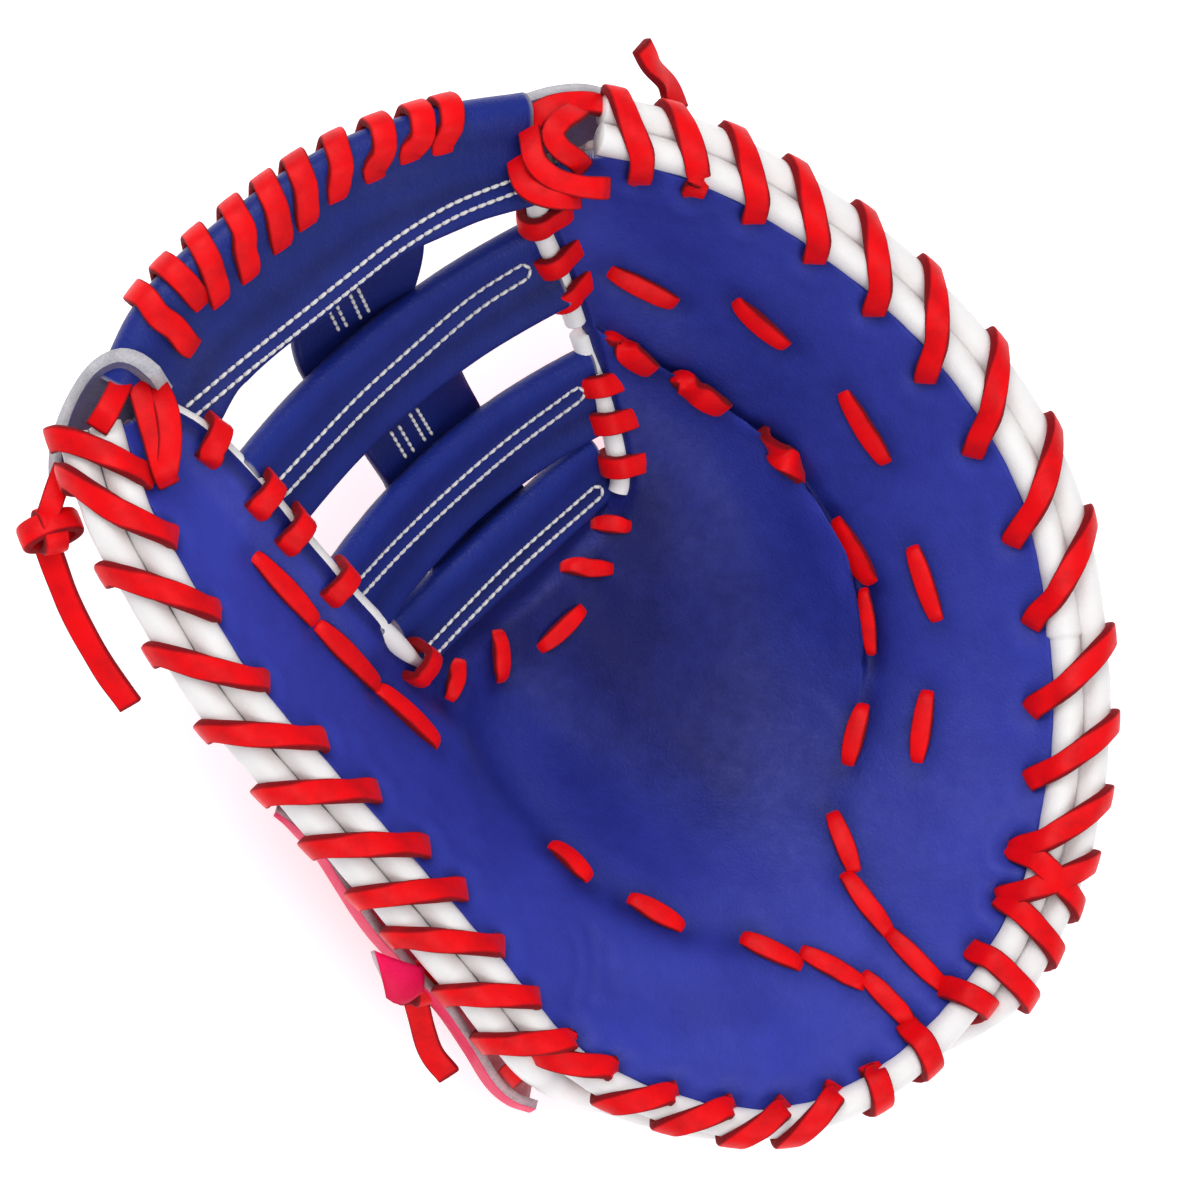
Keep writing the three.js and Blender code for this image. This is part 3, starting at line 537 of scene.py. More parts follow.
class Faces:
    """The faces of some grids of points, to find places on."""

    def __init__(self, *grids: np.ndarray) -> None:
        """Takes the grids, each of rows and columns of points."""
        points: list[np.ndarray] = []
        quads: list[tuple[int, int, int, int]] = []
        count = 0
        for grid in grids:
            rows, columns = grid.shape[:2]
            corner = (count + np.arange(rows - 1)[:, None] * columns + np.arange(columns - 1)).ravel()
            quads += zip(corner.tolist(), (corner + columns).tolist(), (corner + columns + 1).tolist(),
                         (corner + 1).tolist())
            points.append(grid.reshape(-1, 3))
            count += rows * columns
        self.tree = BVHTree.FromPolygons([Vector(point) for point in np.vstack(points)], quads)

    def along(self, start: np.ndarray, way: np.ndarray) -> tuple[np.ndarray, np.ndarray] | None:
        """The first place that a ray meets.

        Args:
            start: Where the ray starts.
            way: The way it goes.

        Returns:
            The place and its normal, turned against the ray, or nothing where it meets no face.
        """
        place, normal, _, _ = self.tree.ray_cast(Vector(start), Vector(way))
        if place is None:
            return None
        normal = np.array(normal)
        return np.array(place), normal if normal @ way < 0 else -normal

    def seen(self, view: PhotoView, spot: tuple[float, float]) -> tuple[np.ndarray, np.ndarray]:
        """The place on the faces at a spot of the image, or the nearest place to its ray.

        Args:
            view: The camera's view.
            spot: The spot in pixels.

        Returns:
            The place and its normal, turned towards the eye.
        """
        ray = view.ray(spot)
        found = self.along(view.eye, ray)
        if found is not None:
            return found
        guess = view.eye + ray * 1000.0
        for _ in range(6):
            place, normal, _, _ = self.tree.find_nearest(Vector(guess))
            guess = view.eye + ray * ((np.array(place) - view.eye) @ ray)
        normal = np.array(normal)
        return np.array(place), normal if normal @ ray < 0 else -normal


# Meshes


def shaped_grid(name: str, points: np.ndarray, closed: bool = False,
                values: dict[str, np.ndarray] | None = None) -> bpy.types.Object:
    """Adds a grid and shapes it to rows and columns of points.

    Args:
        name: The piece's name.
        points: The points in millimetres, in rows and columns.
        closed: Whether its sides and ends meet, and are merged into a closed form.
        values: Named numbers to keep at each point.

    Returns:
        The piece, with the grid's own UV map: along the rows, then across.
    """
    rows, columns = points.shape[:2]
    bpy.ops.object.select_all(action="DESELECT")
    bpy.ops.mesh.primitive_grid_add(x_subdivisions=rows - 1, y_subdivisions=columns - 1, size=1.0)
    piece = bpy.context.active_object
    piece.name = piece.data.name = name
    places = np.empty(rows * columns * 3)
    piece.data.vertices.foreach_get("co", places)
    places = places.reshape(-1, 3)
    row = np.rint((places[:, 0] + 0.5) * (rows - 1)).astype(int)
    column = np.rint((places[:, 1] + 0.5) * (columns - 1)).astype(int)
    piece.data.vertices.foreach_set("co", ((points[row, column] + PATTERN_ZERO) * MILLIMETRE).ravel())
    for key, grid in (values or {}).items():
        attribute = piece.data.attributes.new(key, "FLOAT", "POINT")
        attribute.data.foreach_set("value", np.ascontiguousarray(grid[row, column], dtype=np.float32))
    piece.data.update()
    if closed:
        bpy.ops.object.mode_set(mode="EDIT")
        bpy.ops.mesh.select_all(action="SELECT")
        bpy.ops.mesh.remove_doubles(threshold=1e-6)
        bpy.ops.mesh.normals_make_consistent(inside=False)
        bpy.ops.object.mode_set(mode="OBJECT")
    bpy.ops.object.shade_smooth()
    return piece


def joined(name: str, parts: list[bpy.types.Object]) -> bpy.types.Object:
    """Joins parts into one piece.

    Args:
        name: The piece's name.
        parts: The parts, of which the first keeps the others.

    Returns:
        The piece.
    """
    bpy.ops.object.select_all(action="DESELECT")
    for part in parts:
        part.select_set(True)
    bpy.context.view_layer.objects.active = parts[0]
    if len(parts) > 1:
        bpy.ops.object.join()
    piece = bpy.context.active_object
    piece.name = piece.data.name = name
    return piece


def thickened(piece: bpy.types.Object, wall: float) -> bpy.types.Object:
    """Gives a sheet its wall, inward from its face, with its second finish on the edges and the inside.

    Args:
        piece: The sheet.
        wall: The wall in millimetres.

    Returns:
        The piece.
    """
    bpy.ops.object.select_all(action="DESELECT")
    piece.select_set(True)
    bpy.context.view_layer.objects.active = piece
    solidify = piece.modifiers.new("wall", "SOLIDIFY")
    solidify.thickness = wall * MILLIMETRE
    solidify.offset = -1.0
    solidify.use_even_offset = False
    solidify.material_offset_rim = 1
    solidify.material_offset = 1
    bpy.ops.object.modifier_apply(modifier=solidify.name)
    return piece


def kept(piece: bpy.types.Object, slot: Slot, *nodes: str) -> bpy.types.Object:
    """Rides a piece on the mitt, hides the nodes that it stands for and logs them.

    Args:
        piece: The piece.
        slot: The record's material slot; not used.
        nodes: The nodes that it replaces.

    Returns:
        The piece.
    """
    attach(piece, "root")
    if nodes:
        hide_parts(*nodes)
    LOG.info("%s: %d faces, for %s", piece.name, len(piece.data.polygons), ", ".join(nodes) or "itself")
    return piece


def dressed(piece: bpy.types.Object, *materials: bpy.types.Material) -> bpy.types.Object:
    """Puts materials into a piece's slots."""
    piece.data.materials.clear()
    for material in materials:
        piece.data.materials.append(material)
    return piece


# Finishes


class Nodes:
    """A node material under construction."""

    def __init__(self, name: str) -> None:
        """Starts a material with a principled surface.

        Args:
            name: The material's name.
        """
        self.material = bpy.data.materials.new(name)
        self.material.use_nodes = True
        self.tree = self.material.node_tree
        self.tree.nodes.clear()
        self.surface = self.tree.nodes.new("ShaderNodeBsdfPrincipled")
        output = self.tree.nodes.new("ShaderNodeOutputMaterial")
        self.tree.links.new(self.surface.outputs[0], output.inputs["Surface"])
        self.places = self.tree.nodes.new("ShaderNodeTexCoord").outputs["Object"]

    def put(self, target: bpy.types.NodeSocket, value: object) -> None:
        """Links a socket to another, or sets it to a value."""
        if isinstance(value, bpy.types.NodeSocket):
            self.tree.links.new(value, target)
        else:
            target.default_value = value

    def finish(self, **values: object) -> bpy.types.Material:
        """Sets the surface's inputs, named with underscores for spaces, and gives the material."""
        for key, value in values.items():
            self.put(self.surface.inputs[key.replace("_", " ")], value)
        return self.material

    def noise(self, scale: float, detail: float = 3.0, rough: float = 0.5,
              bend: float = 0.0) -> bpy.types.NodeSocket:
        """Cloudy unevenness.

        Args:
            scale: Clouds to a metre.
            detail: How many finer layers it has.
            rough: How strong the finer layers are.
            bend: How much it is distorted.

        Returns:
            The unevenness, about 0.5.
        """
        node = self.tree.nodes.new("ShaderNodeTexNoise")
        for key, value in (("Vector", self.places), ("Scale", scale), ("Detail", detail),
                           ("Roughness", rough), ("Distortion", bend)):
            self.put(node.inputs[key], value)
        return node.outputs["Fac"]

    def cells(self, scale: float, feature: str = "F1") -> bpy.types.NodeSocket:
        """The distance from the middle or the edge of small cells."""
        node = self.tree.nodes.new("ShaderNodeTexVoronoi")
        node.feature = feature
        self.put(node.inputs["Vector"], self.places)
        self.put(node.inputs["Scale"], scale)
        return node.outputs["Distance"]

    def span(self, value: bpy.types.NodeSocket, to_low: float, to_high: float, low: float = 0.3,
             high: float = 0.7) -> bpy.types.NodeSocket:
        """Maps a range of a value to another.

        Args:
            value: The value.
            to_low: What the start of its range becomes.
            to_high: What the end becomes.
            low: The start of its range, by default that of most noise.
            high: The end of its range.

        Returns:
            The mapped value.
        """
        node = self.tree.nodes.new("ShaderNodeMapRange")
        for key, number in zip(("Value", "From Min", "From Max", "To Min", "To Max"),
                               (value, low, high, to_low, to_high)):
            self.put(node.inputs[key], number)
        return node.outputs["Result"]

    def sum(self, *parts: tuple[bpy.types.NodeSocket, float]) -> bpy.types.NodeSocket:
        """Adds values, each times its weight.

        Args:
            parts: The values and weights.

        Returns:
            The sum.
        """
        total: bpy.types.NodeSocket | float = 0.0
        for value, weight in parts:
            node = self.tree.nodes.new("ShaderNodeMath")
            node.operation = "MULTIPLY_ADD"
            self.put(node.inputs[0], value)
            self.put(node.inputs[1], weight)
            self.put(node.inputs[2], total)
            total = node.outputs[0]
        return total

    def value(self, name: str) -> bpy.types.NodeSocket:
        """A number kept at each point of the piece."""
        node = self.tree.nodes.new("ShaderNodeAttribute")
        node.attribute_name = name
        return node.outputs["Fac"]

    def blend(self, share: bpy.types.NodeSocket, a: object, b: object) -> bpy.types.NodeSocket:
        """Mixes two colours.

        Args:
            share: How much of the second shows.
            a: The first colour.
            b: The second colour.

        Returns:
            The mixed colour.
        """
        node = self.tree.nodes.new("ShaderNodeMix")
        node.data_type = "RGBA"
        self.put(node.inputs["Factor"], share)
        colours = [socket for socket in node.inputs if socket.type == "RGBA"]
        self.put(colours[0], a)
        self.put(colours[1], b)
        return next(socket for socket in node.outputs if socket.type == "RGBA")

    def bump(self, height: bpy.types.NodeSocket, depth: float) -> None:
        """Puts relief on the surface.

        Args:
            height: The relief, 1 at full height.
            depth: The full height in millimetres.
        """
        node = self.tree.nodes.new("ShaderNodeBump")
        self.put(node.inputs["Height"], height)
        self.put(node.inputs["Distance"], depth * MILLIMETRE)
        self.put(node.inputs["Strength"], 1.0)
        self.tree.links.new(node.outputs["Normal"], self.surface.inputs["Normal"])


def colour(red: int, green: int, blue: int) -> tuple[float, float, float, float]:
    """A colour from its display values, from 0 to 255."""
    values = [level / 255 for level in (red, green, blue)]
    linear = [v / 12.92 if v <= 0.04045 else ((v + 0.055) / 1.055) ** 2.4 for v in values]
    return (*linear, 1.0)


@dataclass(frozen=True)
class Leather:
    """Full-grain leather with pores, creases and a soft sheen."""

    name: str
    lit: tuple[int, int, int]
    shade_and_tone: tuple[int, int, int]
    flesh: tuple[int, int, int] = (150, 147, 158)
    roughness: float = 0.47
    pore: float = 900.0
    relief: float = 0.16
    gloss: float = 0.17
    sheen: float = 0.03
    coat: float = 0.05

    def material(self) -> bpy.types.Material:
        """Makes the material: a value kept on the piece blends in its second colour as painted shade and as
        uneven tone, "worn" polishes it and "flesh" bares a cut edge.
        """
        nodes = Nodes(self.name)
        cloud = nodes.noise(38.0, 4.0, 0.6)
        fine = nodes.noise(260.0, 3.0, 0.6)
        pores = nodes.cells(self.pore)
        creases = nodes.cells(self.pore * 0.8, "DISTANCE_TO_EDGE")
        shade = nodes.sum((nodes.value("shade_and_tone"), 1.0), (nodes.span(cloud, -0.10, 0.12), 1.0),
                          (nodes.span(fine, -0.05, 0.06), 1.0))
        grain = nodes.blend(shade, colour(*self.lit), colour(*self.shade_and_tone))
        flesh = nodes.value("flesh")
        rough = nodes.sum((nodes.span(fine, self.roughness - 0.06, self.roughness + 0.07), 1.0),
                          (nodes.value("worn"), -0.1), (flesh, 0.4))
        height = nodes.sum((nodes.span(pores, 0.0, 1.0, 0.0, 0.55), 0.45),
                           (nodes.span(creases, 0.0, 1.0, 0.0, 0.08), 0.16),
                           (fine, 0.8), (nodes.noise(90.0, 3.0, 0.55, 0.6), 1.6))
        nodes.bump(height, self.relief)
        return nodes.finish(Base_Color=nodes.blend(flesh, grain, colour(*self.flesh)), Roughness=rough,
                            Specular_IOR_Level=self.gloss, Sheen_Weight=self.sheen, Sheen_Roughness=0.4,
                            Coat_Weight=self.coat, Coat_Roughness=0.38)


@dataclass(frozen=True)
class Rawhide:
    """Lace leather: a smooth waxed face and darker, fuzzy cut sides."""

    name: str
    face: tuple[int, int, int]
    side: tuple[int, int, int]
    roughness: float = 0.44

    def material(self) -> bpy.types.Material:
        """Makes the material: the point value "cut" says where the cut sides are."""
        nodes = Nodes(self.name)
        cut = nodes.value("cut")
        cloud = nodes.noise(120.0, 3.0, 0.6)
        fuzz = nodes.noise(2600.0, 2.0, 0.7)
        share = nodes.sum((cut, 1.0), (nodes.span(cloud, -0.14, 0.34), 1.0),
                          (nodes.span(fuzz, -0.06, 0.06, 0.35, 0.65), 1.0))
        rough_side = nodes.tree.nodes.new("ShaderNodeMath")
        rough_side.operation = "MULTIPLY"
        nodes.put(rough_side.inputs[0], fuzz)
        nodes.put(rough_side.inputs[1], nodes.sum((cut, 1.4), (cloud, 0.35)))
        nodes.bump(nodes.sum((rough_side.outputs[0], 1.0), (nodes.noise(420.0, 3.0, 0.6), 0.4)), 0.25)
        rough = nodes.sum((cut, 0.35), (nodes.span(cloud, 0.9, 1.1), self.roughness))
        return nodes.finish(Base_Color=nodes.blend(share, colour(*self.face), colour(*self.side)),
                            Roughness=rough, Specular_IOR_Level=0.14, Sheen_Weight=0.03, Sheen_Roughness=0.5)


@dataclass(frozen=True)
class Suede:
    """The flesh side and cut edges of leather."""

    name: str
    lit: tuple[int, int, int]
    shade_and_tone: tuple[int, int, int]

    def material(self) -> bpy.types.Material:
        """Makes the material: a short nap."""
        nodes = Nodes(self.name)
        nap = nodes.noise(1500.0, 4.0, 0.7)
        cloud = nodes.noise(130.0, 3.0, 0.6)
        share = nodes.sum((nodes.span(nap, -0.2, 0.7), 0.6), (nodes.span(cloud, 0.0, 0.6), 1.0))
        nodes.bump(nodes.sum((nap, 1.0), (cloud, 0.5)), 0.3)
        return nodes.finish(Base_Color=nodes.blend(share, colour(*self.lit), colour(*self.shade_and_tone)),
                            Roughness=nodes.span(nap, 0.8, 0.98), Sheen_Weight=0.4, Sheen_Roughness=0.6)


@dataclass(frozen=True)
class Thread:
    """Waxed sewing thread."""

    name: str
    lit: tuple[int, int, int]
    shade_and_tone: tuple[int, int, int]

    def material(self) -> bpy.types.Material:
        """Makes the material: two plies, seen as slanted lines on the stitch's own UV map."""
        nodes = Nodes(self.name)
        own = nodes.tree.nodes.new("ShaderNodeTexCoord").outputs["UV"]
        plies = nodes.tree.nodes.new("ShaderNodeTexWave")
        plies.bands_direction = "DIAGONAL"
        nodes.put(plies.inputs["Vector"], own)
        nodes.put(plies.inputs["Scale"], 1.6)
        shade = nodes.sum((plies.outputs["Fac"], 0.4), (nodes.noise(700.0, 2.0), 0.5))
        nodes.bump(plies.outputs["Fac"], 0.12)
        return nodes.finish(Base_Color=nodes.blend(shade, colour(*self.lit), colour(*self.shade_and_tone)),
                            Roughness=nodes.span(plies.outputs["Fac"], 0.5, 0.65, 0.0, 1.0))


@dataclass(frozen=True)
class Paper:
    """The pale sheet under the mitt."""

    name: str
    tint: tuple[int, int, int]
    glow: float = 0.55

    def material(self) -> bpy.types.Material:
        """Makes the material."""
        nodes = Nodes(self.name)
        grain = nodes.noise(60.0, 2.0)
        brighter = tuple(min(level + 4, 255) for level in self.tint)
        return nodes.finish(Base_Color=nodes.blend(grain, colour(*self.tint), colour(*brighter)),
                            Roughness=nodes.span(grain, 0.85, 0.95, 0.0, 1.0),
                            Emission_Color=colour(*self.tint), Emission_Strength=self.glow)


class Finishes:
    """The mitt's materials, each made once."""

    def __init__(self) -> None:
        """Makes the materials."""
        # Each leather's second colour is blended in by a value on each piece: painted shade in creases,
        # hollows, pinches and under parts, and uneven tone elsewhere
        self.palm = Leather("blue_leather", (50, 60, 166), (10, 17, 88)).material()
        self.web = Leather("web_leather", (26, 42, 128), (6, 14, 66)).material()
        self.binding = Leather("white_binding", (247, 245, 243), (216, 209, 212), roughness=0.42, pore=1300.0,
                               relief=0.08, coat=0.1).material()
        self.back = Leather("pink_back", (250, 12, 96), (214, 8, 62), roughness=0.5).material()
        self.lace = Rawhide("red_lace", (238, 0, 10), (136, 0, 14)).material()
        self.flesh = Suede("grey_flesh", (206, 203, 208), (140, 136, 146)).material()
        self.pink_flesh = Suede("pink_flesh", (222, 196, 200), (158, 120, 130)).material()
        self.lining = Suede("blue_flesh", (84, 78, 132), (50, 46, 84)).material()
        self.thread = Thread("white_thread", (240, 238, 232), (182, 180, 188)).material()


# Straps, rolls and stitches


LACE_WIDTH = 6.5
LACE_THICKNESS = 2.6
LACE_CORNER = 0.62


def strap_section(width: float) -> tuple[np.ndarray, np.ndarray]:
    """The outline of a lace with rounded corners.

    Args:
        width: The lace's width.

    Returns:
        The outline's points, the last the same as the first, and how much each is on a cut side.
    """
    half, high = width / 2, LACE_THICKNESS / 2
    corner = LACE_CORNER
    soft = corner * 0.3
    outline = [(-half + corner, high), (0.0, high * 1.06), (half - corner, high), (half - soft, high - soft),
               (half, high - corner), (half, -high + corner), (half - soft, -high + soft),
               (half - corner, -high), (0.0, -high), (-half + corner, -high), (-half + soft, -high + soft),
               (-half, -high + corner), (-half, high - corner), (-half + soft, high - soft)]
    cut = [0.0, 0.0, 0.0, 0.6, 1.0, 1.0, 0.8, 0.35, 0.3, 0.35, 0.8, 1.0, 1.0, 0.6]
    return np.array([*outline, outline[0]]), np.array([*cut, cut[0]])


def capped(body: np.ndarray, path: np.ndarray) -> np.ndarray:
    """Closes a grid's first and last rows to the ends of its path."""
    tips = [np.repeat(path[end][None, None], body.shape[1], axis=1) for end in (0, -1)]
    return np.concatenate([tips[0], body, tips[1]], axis=0)


def swept(path: np.ndarray, ups: np.ndarray, outline: np.ndarray, wide: np.ndarray,
          high: np.ndarray) -> np.ndarray:
    """Sweeps an outline along a path.

    Args:
        path: The stations.
        ups: The way up at each station.
        outline: The outline's points: across, then up.
        wide: How wide the outline is at each station, as a share.
        high: How high the outline is at each station, as a share.

    Returns:
        Rows and columns of points, with the two ends closed to a point.
    """
    ways = unit(np.gradient(path, axis=0))
    ups = unit(ups - dot(ups, ways) * ways)
    sides = np.cross(ups, ways)
    body = (path[:, None] + sides[:, None] * (outline[:, 0] * wide[:, None])[..., None]
            + ups[:, None] * (outline[:, 1] * high[:, None])[..., None])
    return capped(body, path)


def strap(name: str, path: np.ndarray, ups: np.ndarray, width: float = LACE_WIDTH, step: float = 1.0,
          narrow: np.ndarray | None = None, seed: float = 0.0) -> bpy.types.Object:
    """Cuts a lace and lays it along a path.

    Args:
        name: The piece's name.
        path: Points that the lace goes through.
        ups: The way its face looks at each point.
        width: The lace's width.
        step: The distance between its cross-sections.
        narrow: How much it is squeezed at each point, as a share.
        seed: Which unevenness its edges have.

    Returns:
        The piece.
    """
    squeeze = np.zeros(len(path)) if narrow is None else np.asarray(narrow, float)
    rows = through(np.column_stack([path, ups, squeeze]), step)
    outline, cut = strap_section(width)
    uneven = waves(rows[:, :3], 9.0, seed) * 0.06
    wide = 1.0 + uneven - rows[:, 6]
    high = 1.0 + rows[:, 6] * 0.4
    grid = swept(rows[:, :3], rows[:, 3:6], outline, wide, high)
    sides = np.broadcast_to(cut, grid.shape[:2]).copy()
    sides[:2] = sides[-2:] = 1.0
    return shaped_grid(name, grid, True, {"cut": sides})


def ring(sides: int) -> np.ndarray:
    """The points of a circle, the last the same as the first."""
    angles = np.linspace(0, 2 * math.pi, sides + 1)
    outline = np.column_stack([np.cos(angles), np.sin(angles)])
    outline[-1] = outline[0]
    return outline


def roll(name: str, path: np.ndarray, radii: np.ndarray, sides: int,
         values: dict[str, np.ndarray]) -> bpy.types.Object:
    """Lays a rolled binding along a path.

    Args:
        name: The piece's name.
        path: The stations.
        radii: The radius at each station.
        sides: How many points go round it.
        values: Named numbers to keep at each station.

    Returns:
        The piece.
    """
    grid = swept(path, np.broadcast_to(UPRIGHT, path.shape), ring(sides), radii, radii)
    shown = {}
    for key, numbers in values.items():
        line = np.pad(numbers, 1, mode="edge")
        shown[key] = np.broadcast_to(line[:, None], grid.shape[:2])
    return shaped_grid(name, grid, True, shown)


@dataclass
class Seam:
    """A row of stitches on a face, given by spots of the image."""

    spots: Sequence[tuple[float, float]]
    pitch: float = 3.0
    gap: float = 0.0
    ends: bool = False

    def lines(self) -> list[np.ndarray]:
        """The rows of stitches in the image, one or two of them, or a closed loop."""
        spine = through(np.column_stack([np.array(self.spots, float), np.zeros(len(self.spots))]), 4.0)
        if not self.gap:
            return [spine[:, :2]]
        ways = unit(np.gradient(spine[:, :2], axis=0))
        across = np.column_stack([-ways[:, 1], ways[:, 0]]) * self.gap / 2
        left, right = spine[:, :2] + across, spine[:, :2] - across
        if not self.ends:
            return [left, right]
        turns = []
        for middle, start, way in ((spine[-1, :2], left[-1], ways[-1]), (spine[0, :2], right[0], -ways[0])):
            arm = start - middle
            angles = np.linspace(0, math.pi, 7)[1:-1, None]
            turns.append(middle + arm * np.cos(angles) + way * self.gap / 2 * np.sin(angles))
        return [np.vstack([left, turns[0], right[::-1], turns[1], left[:1]])]


@dataclass
class Needle:
    """Sews seams: one stitch is modelled and copied along every line."""

    view: PhotoView
    width: float = 1.05
    height: float = 0.85
    share: float = 0.74

    # A stitch: places along it, its height at each and its thickness at each, as shares
    form = ((0.0, -0.35, 0.55), (0.14, 0.1, 0.95), (0.5, 0.3, 1.0), (0.86, 0.1, 0.95), (1.0, -0.35, 0.55))

    def stitch(self) -> bpy.types.Object:
        """One stitch, a millimetre long, with its leather facing up."""
        along, lift, size = np.array(self.form).T
        path = np.column_stack([along, np.zeros(len(along)), self.height * lift])
        ups = np.broadcast_to(UPRIGHT, path.shape)
        grid = swept(path, ups, ring(6), size * self.width / 2, size * self.height / 2)
        return shaped_grid("stitch", grid, True)

    def sew(self, name: str, faces: Faces, seams: Sequence[Seam],
            material: bpy.types.Material) -> bpy.types.Object:
        """Sews seams on faces.

        Args:
            name: The piece's name.
            faces: The faces that the stitches lie on.
            seams: The seams.
            material: The thread's material.

        Returns:
            The piece.
        """
        starts, ends, ups = [], [], []
        for seam in seams:
            half = seam.pitch * self.share / 2
            for line in seam.lines():
                found = [faces.seen(self.view, tuple(spot)) for spot in line]
                rows = through(np.column_stack([[place for place, _ in found], [up for _, up in found]]), 0.5)
                run = np.arange(len(rows)) * np.linalg.norm(np.diff(rows[:, :3], axis=0), axis=1).mean()
                count = max(int(run[-1] / seam.pitch), 1)
                for number in range(count):
                    middle = (number + 0.5) * run[-1] / count
                    start, end = (np.array([np.interp(place, run, row) for row in rows.T])
                                  for place in (middle - half, middle + half))
                    starts.append(start[:3])
                    ends.append(end[:3])
                    ups.append(unit(start[3:] + end[3:]))
        return dressed(self.copied(name, np.array(starts), np.array(ends), np.array(ups)), material)

    def copied(self, name: str, starts: np.ndarray, ends: np.ndarray, ups: np.ndarray) -> bpy.types.Object:
        """Copies one stitch to every place of a seam.

        Args:
            name: The piece's name.
            starts: Where the stitches start.
            ends: Where they end.
            ups: The way the leather faces at each.

        Returns:
            All the stitches as one piece.
        """
        model = self.stitch()
        count = len(model.data.vertices)
        shape = np.empty(count * 3)
        model.data.vertices.foreach_get("co", shape)
        shape = shape.reshape(-1, 3) / MILLIMETRE - PATTERN_ZERO
        copies = [model]
        for _ in range(len(starts) - 1):
            copy = model.copy()
            copy.data = model.data.copy()
            bpy.context.scene.collection.objects.link(copy)
            copies.append(copy)
        for copy, start, end, up in zip(copies, starts, ends, ups):
            way = end - start
            side = unit(np.cross(up, way))
            high = unit(np.cross(way, side))
            places = start + shape[:, :1] * way + shape[:, 1:2] * side + shape[:, 2:] * high + PATTERN_ZERO
            copy.data.vertices.foreach_set("co", (places * MILLIMETRE).ravel())
            copy.data.update()
        return joined(name, copies)


# The mitt's parts


